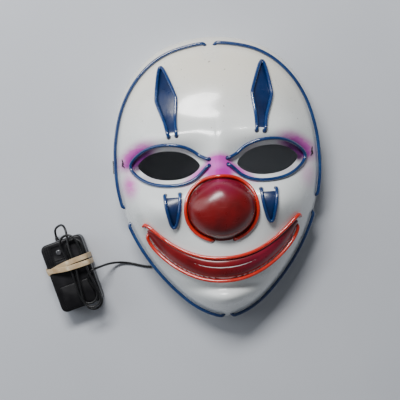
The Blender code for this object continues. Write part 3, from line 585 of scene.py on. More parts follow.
def white_finish():
    """Glossy moulded plastic, cream on the forehead, with airbrushed tints, painted shade at the eye holes
    and light wear.
    """
    finish = Finish("moulded_white", (0.80, 0.83, 0.82), 0.24, coat=0.5, coat_roughness=0.10)
    y = finish.part(finish.place, "Y")
    upper = finish.span(y, 0.02, 0.11)
    cream = finish.times(upper, finish.span(finish.noise(14.0, 2), 0.2, 0.7, 0.5, 1.0))
    finish.tint((0.83, 0.79, 0.68), cream)
    finish.mottle((0.70, 0.73, 0.72), 30.0, 4, 0.50, 0.80, 0.35)
    streaks = finish.noise(1.0, 3, finish.stretched((90.0, 260.0, 90.0), 0.5))
    outer = finish.add("ShaderNodeNewGeometry")
    upward = finish.span(finish.part(outer.outputs["Normal"], "Z"), -0.05, 0.05)
    # airbrushed tints, with painted shade at the eye holes' outer corners and lower edges
    for colour, strength, spot in airbrush_and_shade_rows():
        soft = finish.times(finish.spot(*spot), finish.span(streaks, 0.25, 0.65, 0.75, 1.0))
        strong = finish.math("MINIMUM", finish.times(soft, strength), TINT_LIMIT)
        finish.tint(colour, finish.times(strong, upward))
    specks = finish.span(finish.noise(420.0, 1), 0.745, 0.775)
    finish.tint((0.30, 0.27, 0.24), finish.times(specks, finish.span(y, 0.0, 0.05, 0.0, 0.7)))
    for scuff in ((-0.0018, 0.1030, 0.0024, 0.0013, 0.6), (-0.0500, 0.0850, 0.0020, 0.0030, 0.2)):
        finish.tint((0.28, 0.22, 0.18), finish.span(finish.line(*scuff), 0.12, 0.40, 0.0, 0.8))
    finish.roughen(60.0, 4, 0.16, 0.34)
    finish.grain(130.0, 2, 0.00030, 0.30)
    finish.grain(1100.0, 2, 0.00004, 0.35)
    return finish.material


def paint_finish(name, colour, dark, tint=None, tint_spot=None):
    """Gloss paint with brush unevenness, fine scratches and a tint where it meets the airbrush."""
    finish = Finish(name, colour, 0.30, coat=0.40, coat_roughness=0.20)
    finish.mottle(dark, 45.0, 4, 0.40, 0.75, 0.8)
    if tint:
        finish.tint(tint, finish.times(finish.spot(*tint_spot), 0.45))
    scratches = finish.noise(1.0, 2, finish.stretched((60.0, 1500.0, 60.0), 0.9), 0.6)
    fine = finish.span(scratches, 0.66, 0.70)
    paler = tuple(min(1.0, part * 1.6 + 0.05) for part in colour)
    finish.tint(paler, finish.times(fine, 0.25))
    finish.roughen(120.0, 3, 0.22, 0.42)
    finish.grain(170.0, 2, 0.00035, 0.40)
    finish.grain(1500.0, 2, 0.00003, 0.30)
    return finish.material


def sleeve_finish(name, colour, pale, dark):
    """Clear coloured sleeve over a pale core: paler where it thins, with scuffs along it."""
    finish = Finish(name, colour, 0.20, coat=0.9, coat_roughness=0.05)
    finish.mottle(pale, 38.0, 3, 0.45, 0.85, 0.55)
    finish.mottle(dark, 95.0, 3, 0.55, 0.85, 0.60)
    finish.shader.inputs["Subsurface Weight"].default_value = 0.12
    finish.shader.inputs["Subsurface Radius"].default_value = (0.001, 0.001, 0.002)
    finish.roughen(300.0, 3, 0.14, 0.34)
    finish.grain(800.0, 2, 0.00005, 0.35)
    return finish.material


def elastic_finish():
    """Woven elastic: ribs along it, crossed by fine picks."""
    finish = Finish("black_elastic", (0.014, 0.014, 0.015), 0.82, specular=0.3)
    cloth = finish.coordinates["UV"]
    ribs = finish.add("ShaderNodeTexWave", bands_direction="Y")
    finish.put(ribs.inputs["Vector"], cloth)
    ribs.inputs["Scale"].default_value = 4.5
    picks = finish.add("ShaderNodeTexWave", bands_direction="X")
    finish.put(picks.inputs["Vector"], cloth)
    picks.inputs["Scale"].default_value = 220.0
    finish.tint((0.040, 0.040, 0.043), finish.times(ribs.outputs["Fac"], picks.outputs["Fac"]))
    finish.shader.inputs["Sheen Weight"].default_value = 0.25
    finish.relief(ribs.outputs["Fac"], 0.00030, 0.8)
    finish.relief(picks.outputs["Fac"], 0.00012, 0.7)
    return finish.material


def case_finish():
    """Satin black moulded plastic with a fine grain and dusty scuffs, darker towards its lower end."""
    finish = Finish("pack_black", (0.0045, 0.0043, 0.0055), 0.36, specular=0.32)
    finish.mottle((0.014, 0.012, 0.016), 70.0, 4, 0.45, 0.80, 0.8)
    scratches = finish.noise(1.0, 2, finish.stretched((70.0, 1700.0, 70.0), 0.7), 0.5)
    finish.tint((0.050, 0.050, 0.055), finish.span(scratches, 0.68, 0.72, 0.0, 0.4))
    along = finish.part(finish.place, "Y")
    finish.tint((0.0015, 0.0012, 0.0022), finish.span(along, -0.002, -0.016, 0.0, 0.9))
    finish.roughen(160.0, 3, 0.28, 0.46)
    finish.grain(2600.0, 1, 0.00003, 0.5)
    return finish.material


def cable_finish():
    finish = Finish("lead_black", (0.004, 0.004, 0.0045), 0.34, specular=0.40)
    finish.mottle((0.016, 0.016, 0.018), 110.0, 3, 0.50, 0.85, 0.6)
    finish.roughen(260.0, 3, 0.26, 0.46)
    finish.grain(1300.0, 2, 0.00005, 0.4)
    return finish.material


def rubber_finish():
    """Natural rubber: matt, a little translucent, streaked along the stretched band."""
    finish = Finish("rubber_beige", (0.50, 0.37, 0.22), 0.58, specular=0.35)
    cloth = finish.coordinates["UV"]
    streaks = finish.noise(1.0, 3, finish.stretched((0.9, 9.0, 1.0), 0.0, cloth))
    finish.tint((0.36, 0.23, 0.11), finish.span(streaks, 0.45, 0.72, 0.0, 0.75))
    finish.tint((0.74, 0.64, 0.46), finish.span(streaks, 0.30, 0.48, 0.7, 0.0))
    finish.shader.inputs["Subsurface Weight"].default_value = 0.20
    finish.shader.inputs["Subsurface Radius"].default_value = (0.003, 0.002, 0.001)
    finish.roughen(300.0, 3, 0.48, 0.70)
    finish.relief(streaks, 0.00022, 0.7)
    return finish.material


def button_finish():
    finish = Finish("button_grey", (0.055, 0.055, 0.060), 0.18, coat=0.6)
    finish.mottle((0.11, 0.11, 0.12), 500.0, 3, 0.45, 0.80, 0.6)
    finish.roughen(700.0, 3, 0.12, 0.30)
    finish.grain(2200.0, 1, 0.00002, 0.4)
    return finish.material


def thread_finish():
    finish = Finish("black_thread", (0.015, 0.015, 0.016), 0.75, specular=0.3)
    finish.mottle((0.05, 0.05, 0.055), 2500.0, 2, 0.40, 0.75)
    finish.grain(3500.0, 1, 0.00006, 0.8)
    return finish.material


# Mesh helpers


def mesh_from(shape, name):
    data = bpy.data.meshes.new(name)
    shape.to_mesh(data)
    shape.free()
    return data


def add_piece(name, data, material, body="mask", matrix=None, nodes=()):
    """A dressed piece in the mask's axes, which rides on a body and may stand for CAD nodes."""
    piece = linked(name, data)
    data.materials.append(material)
    piece.matrix_world = matrix or MASK_FRAME
    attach(piece, body)
    if nodes:
        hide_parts(*nodes)
    return piece


def grid_mesh(rows, name, closed_rows=False, closed_columns=False, smooth_angle=PLAIN_SHARP):
    """A skin over rows of spots, with shared spots merged and its faces pointing out."""
    shape = bmesh.new()
    table = [[shape.verts.new(spot) for spot in row] for row in rows]
    row_pairs = list(zip(table, table[1:] + table[:1] if closed_rows else table[1:]))
    for first, second in row_pairs:
        count = len(first)
        for index in range(count if closed_columns else count - 1):
            following = (index + 1) % count
            shape.faces.new((first[index], second[index], second[following], first[following]))
    bmesh.ops.remove_doubles(shape, verts=shape.verts, dist=MERGE_GAP)
    bmesh.ops.recalc_face_normals(shape, faces=shape.faces)
    data = mesh_from(shape, name)
    shade_round(data, smooth_angle)
    return data


def shade_round(data, angle):
    data.shade_smooth()
    data.set_sharp_from_angle(angle=math.radians(angle))


def solid_from(piece):
    """The piece's mesh with its modifiers worked in, after which the piece and its cutters go."""
    evaluated = piece.evaluated_get(bpy.context.evaluated_depsgraph_get())
    data = bpy.data.meshes.new_from_object(evaluated)
    cutters = [modifier.object for modifier in piece.modifiers if modifier.type == "BOOLEAN"]
    for leftover in cutters + [piece]:
        bpy.data.objects.remove(leftover)
    return data


def draft(name, data, matrix=None):
    """An object for work in progress, which isn't a piece of its own."""
    piece = linked(name, data)
    if matrix:
        piece.matrix_world = matrix
    return piece


def work(piece, cutter, operation="DIFFERENCE"):
    modifier = piece.modifiers.new(cutter.name, "BOOLEAN")
    modifier.operation = operation
    modifier.solver = "EXACT"
    modifier.object = cutter


def soften(piece, width, segments):
    modifier = piece.modifiers.new("edges", "BEVEL")
    modifier.width = width
    modifier.segments = segments
    modifier.limit_method = "ANGLE"
    modifier.angle_limit = math.radians(BEVEL_SHARP)
    modifier.use_clamp_overlap = False


def plate_mesh(outline, thickness, name):
    """A flat plate with the given outline, centred on its own plane."""
    shape = bmesh.new()
    low = [shape.verts.new((spot[0], spot[1], -thickness / 2)) for spot in outline]
    high = [shape.verts.new((spot[0], spot[1], thickness / 2)) for spot in outline]
    shape.faces.new(high)
    shape.faces.new(low[::-1])
    for index in range(len(low)):
        following = (index + 1) % len(low)
        shape.faces.new((low[index], low[following], high[following], high[index]))
    bmesh.ops.recalc_face_normals(shape, faces=shape.faces)
    return mesh_from(shape, name)


def box_mesh(size, name):
    shape = bmesh.new()
    bmesh.ops.create_cube(shape, size=1.0)
    bmesh.ops.scale(shape, vec=size, verts=shape.verts)
    return mesh_from(shape, name)


def turned_mesh(profile, sides, name, smooth_angle=PLAIN_SHARP):
    """A solid of revolution about Z from (radius, height) spots, from one end to the other."""
    angles = [2 * math.pi * side / sides for side in range(sides)]
    rows = []
    for radius, height in profile:
        rows.append([(radius * math.cos(angle), radius * math.sin(angle), height) for angle in angles])
    return grid_mesh(rows, name, closed_columns=True, smooth_angle=smooth_angle)


def tube_data(name, points, diameter, sides=3):
    curve = bpy.data.curves.new(name, "CURVE")
    curve.dimensions = "3D"
    curve.bevel_depth = diameter / 2
    curve.bevel_resolution = sides
    curve.use_fill_caps = True
    spline = curve.splines.new("POLY")
    spline.points.add(len(points) - 1)
    for point, spot in zip(spline.points, points):
        point.co = (*spot, 1.0)
    return curve


def arc(centre_x, centre_y, radius, start, end, steps):
    """Points of a round corner, angles in quarter turns."""
    corner = []
    for step in range(steps + 1):
        angle = math.pi / 2 * (start + (end - start) * step / steps)
        corner.append((centre_x + radius * math.cos(angle), centre_y + radius * math.sin(angle)))
    return corner


def rounded_rectangle(width, length, radius, steps):
    outline = []
    for quarter, (side_x, side_y) in enumerate(((1, 1), (-1, 1), (-1, -1), (1, -1))):
        centre_x = side_x * (width / 2 - radius)
        centre_y = side_y * (length / 2 - radius)
        outline += arc(centre_x, centre_y, radius, quarter, quarter + 1, steps)
    return outline


# Curves


def up_from(down):
    """Y of a place that is a share of the way down the face."""
    return MASK_HEIGHT * (0.5 - down)


NOSE_Y = up_from(NOSE_DOWN)


def smooth_step(low, high, value):
    share = min(max((value - low) / (high - low), 0.0), 1.0)
    return share * share * (3 - 2 * share)


def smooth_curve(points, steps):
    """Points along a smooth curve that passes through the given ones."""
    ends = [points[0] * 2 - points[1]] + list(points) + [points[-1] * 2 - points[-2]]
    curve = []
    for first, start, end, last in zip(ends, ends[1:], ends[2:], ends[3:]):
        for step in range(steps):
            share = step / steps
            bend = 2 * start + (end - first) * share
            bend += (2 * first - 5 * start + 4 * end - last) * share ** 2
            bend += (3 * start - first - 3 * end + last) * share ** 3
            curve.append(bend / 2)
    curve.append(points[-1].copy())
    return curve


def marks_along(points):
    """Each point's distance along a line."""
    marks = [0.0]
    for start, end in zip(points, points[1:]):
        marks.append(marks[-1] + (end - start).length)
    return marks


def place_at(points, marks, mark):
    """The place a distance along a line."""
    place = min(max(bisect.bisect(marks, mark), 1), len(points) - 1)
    share = (mark - marks[place - 1]) / (marks[place] - marks[place - 1])
    return points[place - 1].lerp(points[place], share)


def spaced(points, step):
    """The same line with its points an even distance apart."""
    marks = marks_along(points)
    count = max(2, round(marks[-1] / step))
    return [place_at(points, marks, marks[-1] * index / count) for index in range(count + 1)]


def eased(points, passes):
    """The same line with its bends relaxed: each pass draws every point towards its neighbours."""
    for _ in range(passes):
        threes = zip(points, points[1:], points[2:])
        inner = [(before + 2 * spot + after) / 4 for before, spot, after in threes]
        points = [points[0]] + inner + [points[-1]]
    return points


def length_of(points):
    return sum((end - start).length for start, end in zip(points, points[1:]))


# Face surface


def outline_half():
    """The right half of the rim, from the top of the forehead to the chin."""
    rows = [Vector((out * HALF_WIDTH, up_from(down))) for down, out in OUTLINE_ROWS]
    top = Vector((0.0, up_from(0.0)))
    chin = Vector((0.0, up_from(1.0)))
    mirrored_top = Vector((-rows[0].x, rows[0].y))
    mirrored_chin = Vector((-rows[-1].x, rows[-1].y))
    curve = smooth_curve([mirrored_top, top] + rows + [chin, mirrored_chin], OUTLINE_STEPS)
    return curve[OUTLINE_STEPS:-OUTLINE_STEPS]


OUTLINE = outline_half()
REACH = [(math.atan2(abs(spot.x), spot.y - NOSE_Y), math.hypot(spot.x, spot.y - NOSE_Y)) for spot in OUTLINE]
REACH_ANGLES = [row[0] for row in REACH]


def rim_place(share):
    """The place a share of the way along the right half of the rim."""
    along = share * (len(OUTLINE) - 1)
    low = min(int(along), len(OUTLINE) - 2)
    return OUTLINE[low].lerp(OUTLINE[low + 1], along - low)


def rim_reach(x, y):
    """Distance from the nose's middle to the rim, in the direction of a place."""
    angle = math.atan2(abs(x), y - NOSE_Y)
    place = min(max(bisect.bisect(REACH_ANGLES, angle), 1), len(REACH) - 1)
    low, high = REACH[place - 1], REACH[place]
    share = (angle - low[0]) / (high[0] - low[0])
    return low[1] + (high[1] - low[1]) * share


def lip_line(x):
    """Height up the face of the lips' middle, and half their thickness there."""
    share = min(abs(x) / (LIP_WIDTH / 2), 1.0)
    down = LIP_MIDDLE_DOWN - (LIP_MIDDLE_DOWN - LIP_CORNER_DOWN) * share ** LIP_CURVE
    half = LIP_THICKNESS / 2 * math.sqrt(1 - share ** LIP_END_POWER)
    return up_from(down), half


def lip_rise(x, y):
    middle, half = lip_line(x)
    if abs(y - middle) >= half:
        return 0.0
    return LIP_RISE * math.sqrt(1 - ((y - middle) / half) ** 2)


def nose_rise(x, y):
    reach = math.hypot(x / (NOSE_WIDTH / 2), (y - NOSE_Y) / (NOSE_HEIGHT / 2))
    if reach >= 1:
        return 0.0
    return NOSE_RISE * (1 - reach ** NOSE_POWER) ** 0.5


def plain_height(x, y):
    """Height of the face without its lips and nose."""
    share = min(math.hypot(x, y - NOSE_Y) / rim_reach(x, y), 1.0)
    arch = ARCH_DEPTH * (1 - share ** ARCH_POWER) ** (1 / ARCH_POWER)
    form = 0.0
    for out, down, half_out, half_down, rise in FORM_ROWS:
        across = (abs(x) - out * HALF_WIDTH) / (half_out * HALF_WIDTH)
        along = (y - up_from(down)) / (half_down * MASK_HEIGHT)
        form += rise * ARCH_DEPTH * math.exp(-across ** 2 - along ** 2)
    return arch + form * (1 - smooth_step(RELIEF_EDGE, 1.0, share))


def face_height(x, y):
    """Height of the face's outer surface above the rim."""
    return plain_height(x, y) + lip_rise(x, y) + nose_rise(x, y)


def on_face(spot, lift=0.0):
    return Vector((spot.x, spot.y, face_height(spot.x, spot.y) + lift))


def face_normal(x, y):
    reach = 0.0004
    slope_x = (face_height(x + reach, y) - face_height(x - reach, y)) / (2 * reach)
    slope_y = (face_height(x, y + reach) - face_height(x, y - reach)) / (2 * reach)
    return Vector((-slope_x, -slope_y, 1.0)).normalized()


def column_places(column):
    """Places in one column of the face, from the nose's tip out to the rim."""
    rim = rim_place(column / HALF_COLUMNS)
    way = Vector((rim.x, rim.y - NOSE_Y))
    reach = way.length
    way.normalize()
    edge = 1 / math.hypot(way.x / (NOSE_WIDTH / 2), way.y / (NOSE_HEIGHT / 2))
    shares = [edge * math.sin(math.pi / 2 * ring / NOSE_RINGS) for ring in range(1, NOSE_RINGS + 1)]
    for ring in range(1, FACE_RINGS):
        shares.append(edge + (reach - edge) * math.sin(math.pi / 2 * ring / FACE_RINGS))
    return [Vector((way.x * share, NOSE_Y + way.y * share)) for share in shares], rim


def half_face_mesh():
    """Right half of the face as an open surface, with a skirt below the rim."""
    mesh = bmesh.new()
    tip = mesh.verts.new((0.0, NOSE_Y, face_height(0.0, NOSE_Y)))
    columns = []
    for column in range(HALF_COLUMNS + 1):
        places, rim = column_places(column)
        spots = [(spot.x, spot.y, face_height(spot.x, spot.y)) for spot in places]
        spots.append((rim.x, rim.y, 0.0))
        spots.append((rim.x, rim.y, -SKIRT))
        on_middle = column in (0, HALF_COLUMNS)
        columns.append([mesh.verts.new((0.0 if on_middle else x, y, z)) for x, y, z in spots])
    for left, right in zip(columns, columns[1:]):
        mesh.faces.new((tip, right[0], left[0]))
        for ring in range(len(left) - 1):
            mesh.faces.new((left[ring], right[ring], right[ring + 1], left[ring + 1]))
    return mesh_from(mesh, "half_face")


def face_tree(data):
    """Search tree of the whole face's outer surface, from its right half."""
    spots = [vertex.co.copy() for vertex in data.vertices]
    sides = [list(polygon.vertices) for polygon in data.polygons]
    count = len(spots)
    spots += [Vector((-spot.x, spot.y, spot.z)) for spot in spots]
    sides += [[count + index for index in reversed(side)] for side in sides]
    return BVHTree.FromPolygons(spots, sides)


def eye_places(margin, start, steps):
    """Right eye's almond outline, grown by a margin, from the nose side round and back."""
    half_width = EYE_WIDTH / 2 + margin
    half_height = EYE_HEIGHT / 2 + margin
    centre = Vector((EYE_SPACING / 2, up_from(EYE_DOWN)))
    turn = Matrix.Rotation(EYE_TILT, 2)
    places = []
    for step in range(steps + 1):
        angle = start + (2 * math.pi - 2 * start) * step / steps
        pinch = 1 - EYE_PINCH * math.cos(angle) ** 4
        spot = Vector((-half_width * math.cos(angle), half_height * math.sin(angle) * pinch))
        places.append(centre + turn @ spot)
    return places


def mirrored(places):
    return [Vector((-spot.x, spot.y)) for spot in places]


def for_side(side, places):
    return mirrored(places) if side < 0 else places


# Light wires


def lay_on_face(places, tree, seat):
    """Lift a line of places so that a wire through them rests clear of the face."""
    normals = [face_normal(spot.x, spot.y) for spot in places]
    line = [on_face(spot) + normal * seat for spot, normal in zip(places, normals)]
    for _ in range(SEAT_SWEEPS):
        for index in range(len(line) - 1):
            for share in (0.0, 0.5, 1.0):
                probe = line[index].lerp(line[index + 1], share)
                nearest, face_way, _, distance = tree.find_nearest(probe)
                if (probe - nearest).dot(face_way) < 0:
                    distance = -distance
                lack = seat - distance
                if lack > 0:
                    line[index] = line[index] + normals[index] * lack
                    line[index + 1] = line[index + 1] + normals[index + 1] * lack
    return line, normals


def tucked_end(spot, way, normal, holes):
    """Points that turn a wire's end down through its own hole in the face."""
    way = (way - normal * way.dot(normal)).normalized()
    points = []
    for angle in (15, 30, 45, 60, 75, 90):
        turn = math.radians(angle)
        points.append(spot + way * WIRE_BEND * math.sin(turn) - normal * WIRE_BEND * (1 - math.cos(turn)))
    points.append(points[-1] - normal * WIRE_TUCK)
    centre = spot + way * (WIRE_BEND - FIT_GAP / 2) - normal * WIRE_SEAT
    holes.append((centre, normal))
    return points


def add_face_wire(name, places, tree, material, holes):
    """A light wire that lies on the face, with both ends passing through it."""
    line, normals = lay_on_face(spaced(places, WIRE_STEP), tree, WIRE_SEAT)
    head = tucked_end(line[0], line[0] - line[1], normals[0], holes)
    tail = tucked_end(line[-1], line[-1] - line[-2], normals[-1], holes)
    curve = tube_data(name + "_sleeve", list(reversed(head)) + line + tail, WIRE_DIAMETER)
    add_piece(name + "_sleeve", curve, material, nodes=(name,))


def rim_wire_places(side, start, end):
    """Places of one stretch of the wire round the face, between shares of the rim's length."""
    places = []
    for step in range(ROUTE_STEPS + 1):
        rim = rim_place(start + (end - start) * step / ROUTE_STEPS)
        down = 0.5 - rim.y / MASK_HEIGHT
        top, cheek = RIM_WIRE_SHARE
        share = top + (cheek - top) * smooth_step(*RIM_WIRE_SHIFT, down)
        places.append(Vector((side * rim.x * share, NOSE_Y + (rim.y - NOSE_Y) * share)))
    return places


def eye_wire_places():
    """Right eye's wire: the almond outline, open on the nose side, where its ends run in."""
    almond = eye_places(EYE_WIRE_MARGIN, EYE_WIRE_START, EYE_WIRE_STEPS)
    corner = Vector((EYE_SPACING / 2 - EYE_WIDTH / 2 - EYE_WIRE_MARGIN, up_from(EYE_DOWN)))
    ends = [corner + Vector((0.0, side * EYE_WIRE_OPENING / 2)) for side in (1, -1)]
    return [ends[0]] + almond + [ends[1]]


def mark_outlines():
    """Name, outline and place down the face of the right eye's two marks."""
    diamond = mark_places(DIAMOND_ROWS, DIAMOND_WIDTH, DIAMOND_LENGTH, DIAMOND_DOWN, True)
    tear = mark_places(TEAR_ROWS, TEAR_WIDTH, TEAR_LENGTH, TEAR_DOWN, False)
    return (("diamond", diamond, DIAMOND_DOWN), ("tear", tear, TEAR_DOWN))


def mark_centre(down):
    return Vector((EYE_SPACING / 2 - MARK_INSET, up_from(down)))


def mark_places(rows, width, length, down, over_top):
    """Outline of the right eye's mark above or below it, leaning with the face."""
    turn = Matrix.Rotation(-MARK_LEAN if over_top else 0.0, 2)
    half = [Vector((out * width / 2, (up - 0.5) * length)) for out, up in rows]
    other_half = [Vector((-spot.x, spot.y)) for spot in reversed(half)]
    tip_up = 0.5 if over_top else -0.5
    outline = half + [Vector((0.0, tip_up * length))] + other_half
    return smooth_curve([mark_centre(down) + turn @ spot for spot in outline], MARK_STEPS)


def mouth_places(side):
    """Places along the upper (1) or lower (-1) edge of the lips."""
    places = []
    for step in range(ROUTE_STEPS + 1):
        share = 2 * step / ROUTE_STEPS - 1
        x = LIP_WIDTH / 2 * share
        middle, half = lip_line(x)
        spread = WIRE_RADIUS + 2 * FIT_GAP + MOUTH_WIRE_SPREAD * abs(share) ** 6
        places.append(Vector((x * (1 + MOUTH_WIRE_REACH * side), middle + side * (half + spread))))
    return places


def nose_places():
    places = []
    grow = WIRE_RADIUS + 2 * FIT_GAP
    for step in range(ROUTE_STEPS + 1):
        angle = NOSE_WIRE_OPENING / 2 + (2 * math.pi - NOSE_WIRE_OPENING) * step / ROUTE_STEPS
        x = (NOSE_WIDTH / 2 + grow) * math.sin(angle)
        y = NOSE_Y - (NOSE_HEIGHT / 2 + grow) * math.cos(angle)
        places.append(Vector((x, y)))
    return places


def add_light_wires(tree, holes):
    blue = sleeve_finish("blue_sleeve", (0.003, 0.030, 0.130), (0.012, 0.095, 0.290), (0.002, 0.008, 0.045))
    red = sleeve_finish("red_sleeve", (0.560, 0.018, 0.006), (0.720, 0.060, 0.030), (0.300, 0.006, 0.004))
    rim_length = length_of(OUTLINE)
    pause = (RIM_WIRE_BREAK / 2 + WIRE_BEND + WIRE_DIAMETER) / rim_length
    for side, hand in SIDES:
        upper = rim_wire_places(side, pause, RIM_WIRE_CHEEK - pause)
        lower = rim_wire_places(side, RIM_WIRE_CHEEK + pause, 1 - pause)
        add_face_wire("rim_wire_upper_" + hand, upper, tree, blue, holes)
        add_face_wire("rim_wire_lower_" + hand, lower, tree, blue, holes)
        outlines = [("eye", eye_wire_places())] + [row[:2] for row in mark_outlines()]
        for name, places in outlines:
            name = name + "_wire_" + hand
            add_face_wire(name, for_side(side, places), tree, blue, holes)
    add_face_wire("nose_wire", nose_places(), tree, red, holes)
    add_face_wire("mouth_wire_upper", mouth_places(1), tree, red, holes)
    add_face_wire("mouth_wire_lower", mouth_places(-1), tree, red, holes)


# Mask shell and its paint


def add_shell(data, holes):
    """The thin moulded face, cut for the eyes, the strap and the wires' ends."""
    shell = draft("shell_draft", data)
    mirror = shell.modifiers.new("both_sides", "MIRROR")
    mirror.merge_threshold = MIDDLE_GAP
    wall = shell.modifiers.new("wall", "SOLIDIFY")
    wall.thickness = WALL
    wall.offset = -1.0
    wall.use_even_offset = True
    below = draft("rim_plane", box_mesh((2 * MASK_WIDTH, 2 * MASK_HEIGHT, 4 * SKIRT), "rim_plane"))
    below.location.z = -2 * SKIRT
    work(shell, below)
    work(shell, jaw_arch_cutter())
    for side in (-1, 1):
        outline = for_side(side, eye_places(0.0, 0.0, OVAL_SIDES)[:-1])
        eye = draft("eye_hole", plate_mesh(outline, ARCH_DEPTH, "eye_hole"))
        eye.location.z = ARCH_DEPTH * 0.75
        work(shell, eye)
        slot = (12 * WALL, STRAP_WIDTH + 2 * STRAP_SLOT_MARGIN, STRAP_THICKNESS + 4 * FIT_GAP)
        strap = draft("strap_slot", box_mesh(slot, "strap_slot"))
        strap.location = (side * HALF_WIDTH, up_from(STRAP_DOWN), STRAP_SLOT_HEIGHT)
        work(shell, strap)
    work(shell, wire_hole_cutter(holes))
    bpy.context.view_layer.update()
    data = solid_from(shell)
    data.materials.clear()
    shade_round(data, SHELL_SHARP)
    add_piece("mask_face", data, white_finish(), nodes=("mask_shell",))


def jaw_arch_cutter():
    """A wide low arch across both sides of the jaw, which lets the lead out."""
    half = JAW_ARCH_LENGTH / 2
    radius = (half ** 2 + JAW_ARCH_HEIGHT ** 2) / (2 * JAW_ARCH_HEIGHT)
    shape = bmesh.new()
    bmesh.ops.create_cone(
        shape, cap_ends=True, segments=JAW_ARCH_SIDES, radius1=radius, radius2=radius, depth=2 * MASK_WIDTH
    )
    cutter = draft("jaw_arch", mesh_from(shape, "jaw_arch"))
    cutter.rotation_euler = (0.0, math.pi / 2, 0.0)
    cutter.location = (0.0, up_from(JAW_ARCH_DOWN), JAW_ARCH_HEIGHT - radius)
    return cutter


def wire_hole_cutter(holes):
    """One mesh of short drums, one for each wire end."""
    shape = bmesh.new()
    radius = WIRE_RADIUS + WIRE_HOLE_CLEARANCE
    for centre, normal in holes:
        matrix = Matrix.Translation(centre) @ normal.to_track_quat("Z", "Y").to_matrix().to_4x4()
        bmesh.ops.create_cone(
            shape,
            cap_ends=True,
            segments=WIRE_HOLE_SIDES,
            radius1=radius,
            radius2=radius,
            depth=6 * WALL,
            matrix=matrix,
        )
    return draft("wire_holes", mesh_from(shape, "wire_holes"))


def add_mark(name, outline, centre, material):
    """Raised paint inside a mark's wire, a thin cushion on the face."""
    outline = spaced(outline + [outline[0]], MARK_STEP)[:-1]
    lifts = []
    for share in (0.0, 0.2, 0.4, 0.6, 0.75, 0.86, 0.94, 0.98, 1.0):
        lifts.append((share, PAINT_THICKNESS * math.sqrt(1 - share ** CUSHION_POWER)))
    lifts += [(share, -PAINT_DEPTH) for share in (1.0, 0.5, 0.0)]
    rows = []
    for share, lift in lifts:
        rows.append([on_face(centre + (spot - centre) * share, lift) for spot in outline])
    add_piece(name, grid_mesh(rows, name, closed_columns=True), material)


def add_marks():
    navy = paint_finish("navy_paint", (0.002, 0.018, 0.085), (0.001, 0.007, 0.038))
    for side, hand in SIDES:
        for name, places, down in mark_outlines():
            centre = for_side(side, [mark_centre(down)])[0]
            add_mark(name + "_paint_" + hand, for_side(side, places), centre, navy)


def nose_ring(grow, share, lift):
    """A ring of the nose's paint, by its share of the nose and its lift from the plain face."""
    row = []
    for side in range(OVAL_SIDES):
        angle = 2 * math.pi * side / OVAL_SIDES
        x = (NOSE_WIDTH / 2 + PAINT_THICKNESS + grow) * share * math.cos(angle)
        y = NOSE_Y + (NOSE_HEIGHT / 2 + PAINT_THICKNESS + grow) * share * math.sin(angle)
        row.append((x, y, plain_height(x, y) + lift))
    return row


def add_nose_paint():
    """The nose's paint, a dome just proud of the moulded one, with a flange and a hidden foot."""
    crimson = paint_finish(
        "nose_paint",
        (0.170, 0.002, 0.003),
        (0.075, 0.001, 0.002),
        (0.26, 0.008, 0.070),
        (0.0, -0.010, 0.03, 0.018, 0.0),
    )
    rows = []
    for ring in range(NOSE_PAINT_RINGS + 1):
        share = math.sin(math.pi / 2 * ring / NOSE_PAINT_RINGS)
        rise = (NOSE_RISE + PAINT_THICKNESS) * (1 - share ** NOSE_POWER) ** 0.5
        rows.append(nose_ring(0.0, share, rise))
    flange = WIRE_RADIUS + FIT_GAP
    rows.append(nose_ring(flange * FLANGE_TURN, 1.0, PAINT_THICKNESS))
    rows.append(nose_ring(flange, 1.0, 0.0))
    for grow, share in ((flange, 1.0), (0.0, 0.6), (0.0, 0.0)):
        rows.append(nose_ring(grow, share, -PAINT_DEPTH))
    data = grid_mesh(rows, "nose_paint", closed_columns=True)
    add_piece("nose_paint", data, crimson)


def add_lip_paint():
    """The lips' paint: a full smile with a shallow line where the lips meet."""
    crimson = paint_finish(
        "lip_paint",
        (0.220, 0.003, 0.006),
        (0.110, 0.001, 0.003),
        (0.28, 0.008, 0.060),
        (0.045, -0.075, 0.05, 0.03, 0.3),
    )
    rows = []
    for column in range(LIP_COLUMNS + 1):
        share = math.sin(math.pi / 2 * (2 * column / LIP_COLUMNS - 1))
        x = share * (LIP_WIDTH / 2 - LIP_END_GAP)
        middle, half = lip_line(x)
        half += PAINT_THICKNESS
        row = []
        for turn in range(LIP_TURNS + 1):
            angle = math.pi * (turn / LIP_TURNS - 0.5)
            off_crease = (math.sin(angle) - CREASE_PLACE) / CREASE_WIDTH
            crease = CREASE_DEPTH * math.exp(-off_crease ** 2) * (1 - share ** 2)
            y = middle + half * math.sin(angle)
            rise = (LIP_RISE + 2 * PAINT_THICKNESS) * math.cos(angle) * (1 - crease)
            row.append((x, y, plain_height(x, y) + rise))
        flange = WIRE_RADIUS + FIT_GAP
        for y, lift in (
            (middle + half + flange * FLANGE_TURN, PAINT_THICKNESS),
            (middle + half + flange, -PAINT_DEPTH),
            (middle, -PAINT_DEPTH),
            (middle - half - flange, -PAINT_DEPTH),
            (middle - half - flange * FLANGE_TURN, PAINT_THICKNESS),
        ):
            row.append((x, y, plain_height(x, y) + lift))
        rows.append(row)
    data = grid_mesh(rows, "lip_paint", closed_columns=True, smooth_angle=SOFT_SHARP)
    add_piece("lip_paint", data, crimson)


# Head strap


